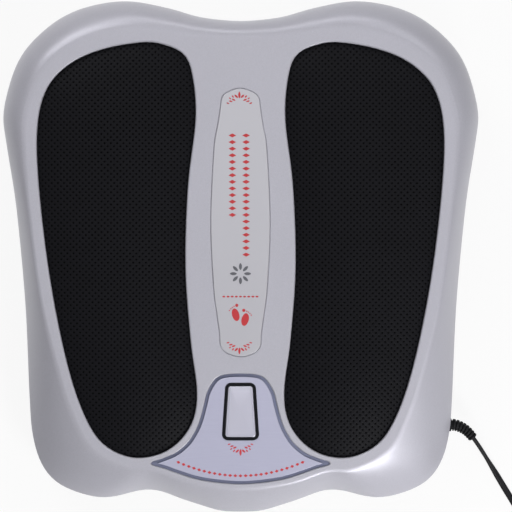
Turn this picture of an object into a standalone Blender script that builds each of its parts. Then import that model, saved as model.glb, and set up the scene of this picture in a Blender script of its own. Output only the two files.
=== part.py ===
"""Shiatsu foot massager, modelled as the separate pieces that it is assembled from.

The origin is on the floor under the middle of the housing, +Y runs to the toes and +X to the right.
The deck slopes up towards the toes, and everything that it carries is placed in the deck's own frame:
u to the right, v up the slope, w out of the deck, with the deck's top face at w = 0.
"""

import math

import bmesh
import bpy
from mathutils import Matrix, Vector

# Overall form
HALF_WIDTH = 0.1884
HALF_LENGTH = 0.200
DECK_MID_HEIGHT = 0.079
DECK_TILT = math.radians(5.5)
PARTING_HEIGHT = 0.028
FLOOR_BOTTOM = 0.005
WALL = 0.0025
GAP = 0.0003
OVERRUN = 0.002

# Half outlines from the middle of the toe end round to the middle of the front, as shares of the
# half width and the half length. The rim's points lie on the deck, level with the parting line's.
PARTING_SHARES = (
    (0, 0.9375), (0.1725, 0.9545), (0.2978, 0.99), (0.4878, 1.021), (0.6783, 0.99), (0.8217, 0.9115),
    (0.939, 0.7815), (1, 0.5875), (0.9915, 0.462), (0.9506, 0.208), (0.9092, -0.175), (0.8875, -0.5555),
    (0.8726, -0.7015), (0.8307, -0.82), (0.7452, -0.9), (0.5764, -0.945), (0.3806, -0.9145),
    (0.2282, -0.957), (0.0849, -0.997), (0, -1),
)
RIM_SHARES = (
    (0, 0.8375), (0.1486, 0.8425), (0.268, 0.855), (0.4299, 0.8675), (0.6024, 0.835), (0.7325, 0.7725),
    (0.8201, 0.685), (0.8758, 0.545), (0.8854, 0.4325), (0.8694, 0.185), (0.819, -0.1825),
    (0.7314, -0.51), (0.6794, -0.645), (0.6316, -0.734), (0.5653, -0.7915), (0.4565, -0.836),
    (0.353, -0.844), (0.2229, -0.885), (0.0849, -0.9065), (0, -0.91),
)
OUTLINE_POINTS = 60
SKIRT_LEVEL_SHARES = (0, 0.08, 0.25, 0.55, 1)
INNER_LEVEL_SHARES = (0, 0.42, 1)
SKIRT_EASE = 1.3
ROLL_LEAST_SHARE = 0.3
ROLL_START_SHARE = -0.1
ROLL_END_SHARE = 0.6

# Pad windows: right one, clockwise from the toe end, as shares of the half width and half length
PAD_SHARES = (
    (0.3848, 0.8155), (0.5525, 0.791), (0.6932, 0.7345), (0.7941, 0.632), (0.8328, 0.4595),
    (0.8169, 0.172), (0.7649, -0.1855), (0.6879, -0.5045), (0.5993, -0.698), (0.4979, -0.774),
    (0.3907, -0.789), (0.2818, -0.7505), (0.2022, -0.6595), (0.1794, -0.535), (0.2054, -0.332),
    (0.2261, -0.0495), (0.2155, 0.2595), (0.1837, 0.524), (0.1975, 0.688), (0.2314, 0.768),
    (0.3015, 0.801),
)
PAD_POINTS = 32
COVER_TUCK = 0.004
COVER_THICKNESS = 0.0012
COVER_CROWN = 0.007
COVER_HEM = 0.0015
COVER_EDGE_RISE = 0.0006
COVER_RING_SHARES = (0.12, 0.3, 0.55, 0.85)
COVER_RISE_SHARES = (0.24, 0.62, 0.92, 1.0)
FRAME_OUTSET = 0.0055
FRAME_INSET = 0.001
FRAME_HEIGHT = 0.0035

# Gear train, in the deck's frame
WHEEL_TEETH = 21
PINION_TEETH = 9
PRESSURE_ANGLE = math.radians(25)
ADDENDUM_SHARE = 0.8
TOOTH_CLEARANCE = 0.0003
BACKLASH = 0.0004
GEAR_THICKNESS = 0.0087
ARCH_WIDTH_SHARE = 0.5069
TOE_WIDTH_SHARE = 0.499
HEEL_WIDTH_SHARE = 0.43
ARCH_V = 0.002
WORM_MODULE = 0.0015
WORM_WHEEL_TEETH = 28
WORM_PRESSURE_ANGLE = math.radians(20)
WORM_CLEARANCE = 0.00025
WORM_BACKLASH = 0.0003
WORM_PITCH_RADIUS = 0.007
WORM_AXIS_W = -0.0355
WORM_WHEEL_THICKNESS = 0.007
WORM_TURNS = 4
WORM_TURN_STEPS = 12
NECK_RADIUS = 0.0085
PINION_TOP = -0.0162
AXLE_RADIUS = 0.004
REDUCER_AXLE_RADIUS = 0.003
SHAFT_RADIUS = 0.0025
RUNNING_CLEARANCE = 0.0003

# Massage heads
HEAD_BOTTOM = -0.0155
HEAD_DISC_THICKNESS = 0.004
HEAD_RADIUS_SHARE = 0.762
KNUCKLE_COUNT = 3
KNUCKLE_CIRCLE_SHARE = 0.611
KNUCKLE_RADIUS_SHARE = 0.347
KNUCKLE_TOP = 0.003
HEAD_HUB_RADIUS_SHARE = 0.25
HEAD_HUB_HEIGHT = 0.003
HEAD_BORE_DEPTH = 0.0045

# Gear decks, gearbox and motor
PLATE_TOP = -0.0267
PLATE_THICKNESS = 0.0033
PLATE_ROUND_SHARE = 0.635
LAMP_SHARES = (0.5026, -0.889)
LAMP_RADIUS = 0.0075
LAMP_HEIGHT = 0.011
LAMP_COLLAR = 0.0015
AXLE_FLANGE_RADIUS = 0.009
AXLE_FLANGE_HEIGHT = 0.0016
CASE_HALF_WIDTH = 0.060
CASE_FRONT = -0.032
CASE_REAR = 0.096
CASE_CORNER = 0.010
CASE_FLOOR_W = -0.0565
CASE_FLOOR_THICKNESS = 0.003
CASE_WALL = 0.0028
CASE_WALL_TOP = -0.041
MOTOR_RADIUS = 0.0175
MOTOR_START = 0.032
MOTOR_LENGTH = 0.050
MOTOR_SHOULDER = 0.006
MOTOR_SHOULDER_HEIGHT = 0.003
MOTOR_BORE_DEPTH = 0.008
SADDLE_HALF_WIDTH = 0.023
SADDLE_LENGTH = 0.008
SADDLE_TOP = -0.0395
SADDLE_STARTS = (0.038, 0.068)
STRAP_LENGTH = 0.012
STRAP_THICKNESS = 0.0015
STRAP_TAB = 0.008
NOSE_START = -0.023
NOSE_LENGTH = 0.005
NOSE_HALF_WIDTH = 0.006
SHAFT_FRONT = -0.022

# Control panel in the deck
POCKET_DEPTH = 0.0013
FASCIA_THICKNESS = 0.001
FASCIA_MARGIN = 0.0006
PANEL_WIDTH_SHARE = 0.3689
PANEL_TOP_SHARE = -0.4645
PANEL_BOTTOM_SHARE = -0.8905
PANEL_SHARES = (
    (0, 0), (0.163, 0.008), (0.255, 0.034), (0.319, 0.093), (0.371, 0.175), (0.397, 0.259),
    (0.427, 0.356), (0.466, 0.459), (0.518, 0.546), (0.593, 0.634), (0.717, 0.719), (0.863, 0.771),
    (1.0, 0.815), (0.835, 0.860), (0.696, 0.901), (0.427, 0.965),
)
PANEL_POINTS = 48
BUTTON_TOP_SHARE = -0.5115
BUTTON_BOTTOM_SHARE = -0.7085
BUTTON_TOP_HALF_WIDTH = 0.0092
BUTTON_BOTTOM_HALF_WIDTH = 0.0118
BUTTON_CORNER = 0.0020
BEZEL_WIDTH = 0.0024
BEZEL_PROUD = 0.0008
BEZEL_FLANGE = 0.002
BEZEL_FLANGE_THICKNESS = 0.0015
CAP_PROUD = 0.0015
CAP_FLANGE = 0.0014
CAP_FLANGE_THICKNESS = 0.0015
CAP_CROWN = 0.0006
CAP_STEM_RADIUS = 0.0035
CAP_STEM_LENGTH = 0.003
BUTTON_TRAVEL = 0.0025
BOARD_TOP = -0.0170
BOARD_THICKNESS = 0.0016
BOARD_HALF_WIDTH = 0.027
BOARD_FRONT_REACH = 0.023
BOARD_REAR_REACH = 0.018
BOARD_POST_RADIUS = 0.0028
BOARD_POST_INSET = 0.004
SWITCH_HALF_WIDTH = 0.006
SWITCH_NIB_RADIUS = 0.0018
SWITCH_NIB_HEIGHT = 0.001

# Label plate on the spine
LABEL_TOP_SHARE = 0.6385
LABEL_BOTTOM_SHARE = -0.3985
LABEL_WIDTH_SHARE = 0.1226
LABEL_SHARES = (
    (0, 1), (0.576, 0.948), (0.654, 0.884), (0.758, 0.732), (0.892, 0.545), (1.0, 0.0), (0.905, -0.48),
    (0.814, -0.652), (0.706, -0.823), (0.623, -0.943), (0, -1),
)
LABEL_POINTS = 32
LABEL_RECESS = 0.0006
LABEL_THICKNESS = 0.0012
LABEL_MARGIN = 0.0004

# Base tray
TUCK_STEPS = ((0.0120, 0.0), (0.0070, 0.0026), (0.0020, 0.0120))
LIP_INSET = 0.0052
LIP_THICKNESS = 0.0018
LIP_HEIGHT = 0.0022
FLOOR_THICKNESS = 0.0025
FLOOR_CURVE = 0.0027
FOOT_RADIUS = 0.011
FOOT_RECESS = 0.0015
FOOT_REAR_SHARES = (0.6794, 0.59)
FOOT_FRONT_SHARES = (0.5945, -0.70)
SCREW_REAR_SHARES = (0.1274, 0.75)
SCREW_FRONT_SHARES = (0.1592, -0.805)
SCREW_RADIUS = 0.0016
SCREW_HEAD_RADIUS = 0.0036
SCREW_HEAD_HEIGHT = 0.0024
SCREW_LENGTH = 0.030
COUNTERBORE_DEPTH = 0.010
BOSS_RADIUS = 0.006
SHELL_BOSS_RADIUS = 0.0045
COLUMN_RADIUS = 0.005
PLATE_COLUMN_SHARES = ((1.047, -0.9524), (1.047, 1.0582), (0.7749, -2.37), (0.9843, 2.497))
CASE_COLUMNS = ((0.052, -0.024), (0.052, 0.086))
VENT_COUNT = 5
VENT_LENGTH = 0.034
VENT_WIDTH = 0.003
VENT_PITCH = 0.008
VENT_U = 0.070
VENT_V = 0.010

# Strain relief and cord. The route runs from inside the right wall to the start of the coil.
CORD_WIDTH = 0.0050
CORD_THICKNESS = 0.0032
CORD_SIDES = 8
COIL_SIDES = 6
EXIT_LENGTH_SHARE = -0.66
EXIT_HEIGHT = 0.0192
RELIEF_WIDTH_SHARE = 0.8243
RELIEF_LENGTH = 0.033
RELIEF_RADIUS = 0.0042
RELIEF_TIP_RADIUS = 0.0032
RELIEF_RIB_DEPTH = 0.0009
RELIEF_RIBS = 8
RELIEF_SIDES = 8
INNER_FLANGE_RADIUS = 0.0055
FLANGE_LENGTH = 0.0018
OUTER_FLANGE_RADIUS = 0.0052
OUTER_FLANGE_START = 0.0102
# The lead's route from where the sleeve starts, and the tail's from where the coil starts
LEAD_ROUTE = (
    (0, 0, 0), (0.0094, 0, 0), (0.0159, -0.0005, -0.0001), (0.0229, -0.0037, -0.0010),
    (0.0286, -0.0092, -0.0028), (0.0338, -0.0160, -0.0055), (0.0389, -0.0235, -0.0090),
    (0.0444, -0.0320, -0.0122), (0.0499, -0.0408, -0.0150), (0.0552, -0.0495, -0.0167),
    (0.0604, -0.0580, -0.0172), (0.0654, -0.0665, -0.0169), (0.0694, -0.0750, -0.0165),
    (0.0704, -0.0790, -0.0165), (0.0704, -0.0830, -0.0165),
)
TAIL_ROUTE = (
    (0, -0.0006, 0.0055), (0, -0.0050, 0.0055), (0.0002, -0.0170, 0.0054),
    (0.0028, -0.0295, 0.0040), (0.0088, -0.0405, 0.0026), (0.0182, -0.0475, 0.0023),
    (0.0275, -0.0498, 0.0031), (0.0330, -0.0500, 0.0040), (0.0375, -0.0500, 0.0040),
)
TWIST_SHARES = ((0, 1), (0.3, 1), (0.62, 0), (0.78, 0), (0.95, 1), (1, 1))
CORD_STEP = 0.0055
COIL_TURNS = 4
COIL_INNER_RADIUS = 0.0240
COIL_PITCH = 0.0037
COIL_DIP = 0.0018
COIL_DIP_TURNS = 0.5
COIL_DIP_EASE_TURNS = 0.28
COIL_LAYER_PITCH = 0.0055
COIL_TURN_POINTS = 24
PLUG_LENGTH = 0.0353
PLUG_PIN_WIDTH = 0.0255
PLUG_THICKNESS = 0.0134
PLUG_SECTION_SHARES = ((0, 0.30, 0.55), (0.10, 0.34, 0.62), (0.42, 0.62, 0.86), (0.62, 0.92, 1.0),
                       (0.70, 1.0, 1.0), (1.0, 1.0, 1.0))
PLUG_CORNER_SHARE = 0.6
PIN_RADIUS = 0.002
PIN_LENGTH = 0.019
PIN_SPACING = 0.0186

ROUND_SIDES = 16
AXLE_SIDES = 8
SIDES = ("left", -1), ("right", 1)

# Worked out from the sizes above
WORM_WHEEL_RADIUS = WORM_MODULE * WORM_WHEEL_TEETH / 2
REDUCER_U = WORM_WHEEL_RADIUS + WORM_PITCH_RADIUS
ARCH_U = ARCH_WIDTH_SHARE * HALF_WIDTH
TOE_U = TOE_WIDTH_SHARE * HALF_WIDTH
HEEL_U = HEEL_WIDTH_SHARE * HALF_WIDTH
MODULE = (ARCH_U - REDUCER_U) * 2 / (WHEEL_TEETH + PINION_TEETH)
PITCH_RADIUS = MODULE * WHEEL_TEETH / 2
PINION_PITCH_RADIUS = MODULE * PINION_TEETH / 2
TOE_V = ARCH_V + math.sqrt((2 * PITCH_RADIUS) ** 2 - (ARCH_U - TOE_U) ** 2)
HEEL_V = ARCH_V - math.sqrt((2 * PITCH_RADIUS) ** 2 - (ARCH_U - HEEL_U) ** 2)
HEAD_RADIUS = HEAD_RADIUS_SHARE * PITCH_RADIUS
HEAD_HUB_RADIUS = HEAD_HUB_RADIUS_SHARE * HEAD_RADIUS
KNUCKLE_CIRCLE = KNUCKLE_CIRCLE_SHARE * HEAD_RADIUS
KNUCKLE_RADIUS = KNUCKLE_RADIUS_SHARE * HEAD_RADIUS
PLATE_ROUND = PLATE_ROUND_SHARE * PITCH_RADIUS
LAMP_U = LAMP_SHARES[0] * ARCH_U
LAMP_V = LAMP_SHARES[1] * PITCH_RADIUS
PLATE_COLUMNS = [(u * ARCH_U, v * PITCH_RADIUS) for u, v in PLATE_COLUMN_SHARES]
PANEL_HALF_WIDTH = PANEL_WIDTH_SHARE * HALF_WIDTH
PANEL_TOP_V = PANEL_TOP_SHARE * HALF_LENGTH
PANEL_BOTTOM_V = PANEL_BOTTOM_SHARE * HALF_LENGTH
BUTTON_TOP_V = BUTTON_TOP_SHARE * HALF_LENGTH
BUTTON_BOTTOM_V = BUTTON_BOTTOM_SHARE * HALF_LENGTH
BUTTON_MIDDLE_V = (BUTTON_TOP_V + BUTTON_BOTTOM_V) / 2
BOARD_FRONT_V = BUTTON_MIDDLE_V - BOARD_FRONT_REACH
BOARD_REAR_V = BUTTON_MIDDLE_V + BOARD_REAR_REACH
LABEL_TOP_V = LABEL_TOP_SHARE * HALF_LENGTH
LABEL_BOTTOM_V = LABEL_BOTTOM_SHARE * HALF_LENGTH
LABEL_HALF_WIDTH = LABEL_WIDTH_SHARE * HALF_WIDTH
EXIT_V = EXIT_LENGTH_SHARE * HALF_LENGTH
RELIEF_START = RELIEF_WIDTH_SHARE * HALF_WIDTH
WORM_LEAD = math.pi * WORM_MODULE
LEAD_ANGLE = math.atan2(WORM_LEAD, 2 * math.pi * WORM_PITCH_RADIUS)
HEADS = ("toe", TOE_U, TOE_V), ("arch", ARCH_U, ARCH_V), ("heel", HEEL_U, HEEL_V)
GEAR_TOP = HEAD_BOTTOM - GAP
GEAR_BOTTOM = GEAR_TOP - GEAR_THICKNESS
PLATE_BOTTOM = PLATE_TOP - PLATE_THICKNESS
FLANGE_TOP = -WALL - GAP
FRAME_TOP = FLANGE_TOP - COVER_HEM - GAP
DECK = Matrix.Translation((0, 0, DECK_MID_HEIGHT)) @ Matrix.Rotation(DECK_TILT, 4, "X")


# Outlines

def curve_point(points, at):
    """A point of the closed smooth curve through the given ones, at runs from 0 to their count."""
    count = len(points)
    index = int(math.floor(at)) % count
    t = at - math.floor(at)
    p0, p1, p2, p3 = (Vector(points[(index + k - 1) % count]) for k in range(4))
    return 0.5 * (2 * p1 + (p2 - p0) * t + (2 * p0 - 5 * p1 + 4 * p2 - p3) * t * t
                  + (3 * p1 - p0 - 3 * p2 + p3) * t ** 3)


def even_places(points, count):
    """Places along that curve which lie evenly round it."""
    fine = 12
    places = [i / fine for i in range(len(points) * fine + 1)]
    spots = [curve_point(points, at) for at in places]
    run = [0.0]
    for a, b in zip(spots, spots[1:]):
        run.append(run[-1] + (b - a).length)
    found, k = [], 0
    for i in range(count):
        want = run[-1] * i / count
        while run[k + 1] < want:
            k += 1
        found.append(places[k] + (want - run[k]) / (run[k + 1] - run[k]) / fine)
    return found


def smooth_outline(points, count):
    return [curve_point(points, at) for at in even_places(points, count)]


def mirrored(half):
    """A whole outline from its right half, whose first and last points lie on the middle line."""
    return list(half) + [(-x, y) for x, y in reversed(half[1:-1])]


def scaled(shares, width, length):
    return [(x * width, y * length) for x, y in shares]


def moved_out(ring, distance):
    """The ring with each point moved out by a distance, square to the ring; it runs clockwise."""
    found = []
    for i, point in enumerate(ring):
        along = Vector(ring[(i + 1) % len(ring)]).xy - Vector(ring[i - 1]).xy
        out = Vector((-along.y, along.x)).normalized()
        moved = Vector(point)
        moved.x += out.x * distance
        moved.y += out.y * distance
        found.append(moved)
    return found


def rounded_polygon(corners, radius, steps=4):
    """A clockwise polygon with each corner turned as an arc."""
    found = []
    for i, corner in enumerate(corners):
        here = Vector(corner)
        before = (Vector(corners[i - 1]) - here).normalized()
        after = (Vector(corners[(i + 1) % len(corners)]) - here).normalized()
        half = before.angle(after) / 2
        middle = here + (before + after).normalized() * radius / math.sin(half)
        start = here + before * radius / math.tan(half) - middle
        end = here + after * radius / math.tan(half) - middle
        turn = start.angle_signed(end)
        for k in range(steps + 1):
            found.append(middle + Matrix.Rotation(-turn * k / steps, 2) @ start)
    return found


def circle(radius, sides, middle=(0, 0)):
    """A clockwise circle."""
    return [Vector((middle[0] + radius * math.sin(2 * math.pi * i / sides),
                    middle[1] + radius * math.cos(2 * math.pi * i / sides))) for i in range(sides)]


def clear_radius(radius, clearance, sides):
    """The corner radius of a faceted hole whose flats clear a round piece."""
    return (radius + clearance) / math.cos(math.pi / sides)


def hull_of(points):
    """The clockwise convex outline round some points."""
    ordered = sorted({(p[0], p[1]) for p in points})

    def half(run):
        kept = []
        for p in run:
            while len(kept) > 1 and ((kept[-1][0] - kept[-2][0]) * (p[1] - kept[-2][1])
                                     - (kept[-1][1] - kept[-2][1]) * (p[0] - kept[-2][0])) >= 0:
                kept.pop()
            kept.append(p)
        return kept
    return [Vector(p) for p in half(ordered)[:-1] + half(ordered[::-1])[:-1]]


# Solids, each added to a mesh that may hold several before it becomes an object

def add_loft(mesh, rings):
    """A closed solid through rings of equal count, capped by its first and last ring."""
    rows = [[mesh.verts.new(point) for point in ring] for ring in rings]
    count = len(rows[0])
    for low, high in zip(rows, rows[1:]):
        for i in range(count):
            j = (i + 1) % count
            mesh.faces.new((low[i], low[j], high[j], high[i]))
    mesh.faces.new(rows[0][::-1])
    mesh.faces.new(rows[-1])


def add_prism(mesh, outline, low, high):
    add_loft(mesh, [[Vector((p[0], p[1], w)) for p in outline] for w in (low, high)])


def add_hoop(mesh, levels):
    """A closed hoop from (outline, height) pairs in order round its section, of equal counts."""
    rings = [[mesh.verts.new((p[0], p[1], w)) for p in outline] for outline, w in levels]
    count = len(rings[0])
    for k, a in enumerate(rings):
        b = rings[(k + 1) % len(rings)]
        for i in range(count):
            j = (i + 1) % count
            mesh.faces.new((a[i], a[j], b[j], b[i]))


def add_turned(mesh, profile, sides=ROUND_SIDES, middle=(0, 0)):
    """A solid turned about an upright axis, from (radius, height) points; radius 0 is a pole."""
    rows = []
    for radius, height in profile:
        if radius == 0:
            rows.append([mesh.verts.new((middle[0], middle[1], height))])
        else:
            rows.append([mesh.verts.new((p.x, p.y, height)) for p in circle(radius, sides, middle)])
    for low, high in zip(rows, rows[1:]):
        for i in range(sides):
            j = (i + 1) % sides
            if len(low) == 1:
                mesh.faces.new((low[0], high[j], high[i]))
            elif len(high) == 1:
                mesh.faces.new((low[i], low[j], high[0]))
            else:
                mesh.faces.new((low[i], low[j], high[j], high[i]))
    if len(rows[0]) > 1:
        mesh.faces.new(rows[0][::-1])
    if len(rows[-1]) > 1:
        mesh.faces.new(rows[-1])


def add_cylinder(mesh, middle, radius, low, high, sides=ROUND_SIDES):
    add_turned(mesh, [(radius, low), (radius, high)], sides, middle)


def add_box(mesh, low, high):
    outline = [(low[0], low[1]), (low[0], high[1]), (high[0], high[1]), (high[0], low[1])]
    add_prism(mesh, outline, low[2], high[2])


# Objects and their materials

MATERIALS = {
    "silver_paint": ((0.462, 0.451, 0.502), 0.34, 0.35),
    "brushed_panel": ((0.440, 0.436, 0.533), 0.30, 0.55),
    "gloss_button": ((0.480, 0.472, 0.552), 0.12, 0.30),
    "label_silver": ((0.500, 0.495, 0.540), 0.38, 0.25),
    "black_mesh": ((0.008, 0.007, 0.010), 0.85, 0.0),
    "black_plastic": ((0.012, 0.012, 0.017), 0.30, 0.0),
    "black_rubber": ((0.014, 0.014, 0.014), 0.75, 0.0),
    "grey_plastic": ((0.300, 0.295, 0.330), 0.50, 0.0),
    "white_acetal": ((0.780, 0.770, 0.720), 0.40, 0.0),
    "knuckle_plastic": ((0.180, 0.110, 0.100), 0.45, 0.0),
    "steel": ((0.560, 0.560, 0.570), 0.28, 1.0),
    "brass": ((0.710, 0.520, 0.230), 0.30, 1.0),
    "circuit_board": ((0.030, 0.180, 0.070), 0.55, 0.0),
    "lamp_red": ((0.480, 0.020, 0.015), 0.15, 0.0),
}


def material(name):
    found = bpy.data.materials.get(name)
    if found is None:
        colour, roughness, metallic = MATERIALS[name]
        found = bpy.data.materials.new(name)
        found.use_nodes = True
        shader = found.node_tree.nodes["Principled BSDF"]
        shader.inputs["Base Color"].default_value = (*colour, 1)
        shader.inputs["Roughness"].default_value = roughness
        shader.inputs["Metallic"].default_value = metallic
        found.diffuse_color = (*colour, 1)
    return found


def add_object(name, data, finish, parent=None, place=(0, 0, 0)):
    thing = bpy.data.objects.new(name, data)
    bpy.context.scene.collection.objects.link(thing)
    thing.parent = parent
    thing.location = place
    if finish:
        data.materials.append(material(finish))
    return thing


def make(name, finish, mesh, parent=None, place=(0, 0, 0), sharp=math.radians(35)):
    """An object from a mesh under construction, with its faces turned to point out."""
    bmesh.ops.recalc_face_normals(mesh, faces=mesh.faces)
    data = bpy.data.meshes.new(name)
    mesh.to_mesh(data)
    mesh.free()
    data.shade_smooth()
    data.set_sharp_from_angle(angle=sharp)
    return add_object(name, data, finish, parent, place)


def combine(thing, operation, mesh, parent=None, place=(0, 0, 0)):
    """Joins solids to an object or cuts them out of it, with a live Boolean."""
    label = f"{thing.name}_{operation.lower()}_{len(thing.modifiers)}"
    tool = make(label, None, mesh, parent, place)
    tool.hide_render = True
    tool.display_type = "WIRE"
    step = thing.modifiers.new(operation.title(), "BOOLEAN")
    step.operation = operation
    step.object = tool
    step.solver = "EXACT"
    return tool


def on_deck(u, v, w=0.0):
    return DECK @ Vector((u, v, w))


# The two outer mouldings

PARTING = mirrored(scaled(PARTING_SHARES, HALF_WIDTH, HALF_LENGTH))
RIM = mirrored(scaled(RIM_SHARES, HALF_WIDTH, HALF_LENGTH))
PLACES = even_places(PARTING, OUTLINE_POINTS)
PARTING_RING = [curve_point(PARTING, at) for at in PLACES]
RIM_RING = [curve_point(RIM, at) for at in PLACES]


def roll_weight(y):
    """How far the skirt's side is a full roll: 1 at the toes, least at the front."""
    t = min(max((y / HALF_LENGTH - ROLL_START_SHARE) / (ROLL_END_SHARE - ROLL_START_SHARE), 0), 1)
    smooth = t * t * (3 - 2 * t)
    return ROLL_LEAST_SHARE + (1 - ROLL_LEAST_SHARE) * smooth


def skirt_ring(share, rim, parting, depth):
    """One ring of the skirt, at a share of the way from the deck's rim down to the parting line."""
    ring = []
    for top, low in zip(rim, parting):
        start = on_deck(top.x, top.y, -depth)
        roll = roll_weight(start.y)
        across = (1 - roll) * share + roll * math.sin(share * math.pi / 2)
        down = (1 - roll) * share ** SKIRT_EASE + roll * (1 - math.cos(share * math.pi / 2))
        ring.append(Vector((start.x + (low.x - start.x) * across, start.y + (low.y - start.y) * across,
                            start.z + (PARTING_HEIGHT - start.z) * down)))
    return ring


def pad_outline(side, outset=0.0, count=PAD_POINTS):
    """A pad window's outline, moved out by some distance, for the left (-1) or right (1) side."""
    ring = moved_out(smooth_outline(scaled(PAD_SHARES, HALF_WIDTH, HALF_LENGTH), count), outset)
    if side < 0:
        ring = [Vector((-p.x, p.y)) for p in reversed(ring)]
    return ring


def panel_outline(outset=0.0, count=PANEL_POINTS):
    length = PANEL_TOP_V - PANEL_BOTTOM_V
    half = [(x * PANEL_HALF_WIDTH, PANEL_TOP_V - y * length) for x, y in PANEL_SHARES]
    half.append((0, PANEL_BOTTOM_V))
    return moved_out(smooth_outline(mirrored(half), count), outset)


def button_outline(outset=0.0):
    corners = [(-BUTTON_TOP_HALF_WIDTH, BUTTON_TOP_V), (BUTTON_TOP_HALF_WIDTH, BUTTON_TOP_V),
               (BUTTON_BOTTOM_HALF_WIDTH, BUTTON_BOTTOM_V), (-BUTTON_BOTTOM_HALF_WIDTH, BUTTON_BOTTOM_V)]
    return moved_out(rounded_polygon(corners, BUTTON_CORNER, 3), outset)


def label_outline(outset=0.0):
    middle = (LABEL_TOP_V + LABEL_BOTTOM_V) / 2
    half_length = (LABEL_TOP_V - LABEL_BOTTOM_V) / 2
    half = [(x * LABEL_HALF_WIDTH, middle + y * half_length) for x, y in LABEL_SHARES]
    return moved_out(smooth_outline(mirrored(half), LABEL_POINTS), outset)


def screw_places():
    return [(side * u * HALF_WIDTH, v * HALF_LENGTH)
            for u, v in (SCREW_FRONT_SHARES, SCREW_REAR_SHARES) for _, side in SIDES]


def upper_shell(deck):
    inner_rim = moved_out(RIM_RING, -WALL)
    inner_parting = moved_out(PARTING_RING, -WALL)
    rings = [skirt_ring(share, RIM_RING, PARTING_RING, 0) for share in SKIRT_LEVEL_SHARES]
    rings += [skirt_ring(share, inner_rim, inner_parting, WALL) for share in reversed(INNER_LEVEL_SHARES)]
    mesh = bmesh.new()
    add_loft(mesh, rings)
    shell = make("upper_shell", "silver_paint", mesh)

    posts = bmesh.new()
    for u, v in screw_places():
        top = on_deck(u, v, -WALL / 2)
        add_cylinder(posts, (u, top.y), SHELL_BOSS_RADIUS, PARTING_HEIGHT, top.z, 10)
    combine(shell, "UNION", posts)
    posts = bmesh.new()
    for u, v in board_posts():
        add_cylinder(posts, (u, v), BOARD_POST_RADIUS, BOARD_TOP + GAP, -WALL / 2, 10)
    combine(shell, "UNION", posts, deck)

    windows = bmesh.new()
    for _, side in SIDES:
        add_prism(windows, pad_outline(side), -WALL - OVERRUN, OVERRUN)
    add_prism(windows, button_outline(BEZEL_WIDTH + GAP), -WALL - OVERRUN, OVERRUN)
    combine(shell, "DIFFERENCE", windows, deck)
    recesses = bmesh.new()
    add_prism(recesses, panel_outline(), -POCKET_DEPTH, OVERRUN)
    add_prism(recesses, label_outline(), -LABEL_RECESS, OVERRUN)
    combine(shell, "DIFFERENCE", recesses, deck)
    bores = bmesh.new()
    for u, v in screw_places():
        start = on_deck(u, v).y
        add_cylinder(bores, (u, start), SCREW_RADIUS + GAP, PARTING_HEIGHT - OVERRUN,
                     FLOOR_BOTTOM + COUNTERBORE_DEPTH + SCREW_LENGTH + OVERRUN, 10)
    combine(shell, "DIFFERENCE", bores)
    return shell


def board_posts():
    return [(side * (BOARD_HALF_WIDTH - BOARD_POST_INSET), v)
            for v in (BOARD_FRONT_V + BOARD_POST_INSET, BOARD_REAR_V - BOARD_POST_INSET)
            for _, side in SIDES]


def foot_places():
    ends = ("front", FOOT_FRONT_SHARES), ("rear", FOOT_REAR_SHARES)
    return [(f"{end}_{name}_foot", side * u * HALF_WIDTH, v * HALF_LENGTH)
            for end, (u, v) in ends for name, side in SIDES]


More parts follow.
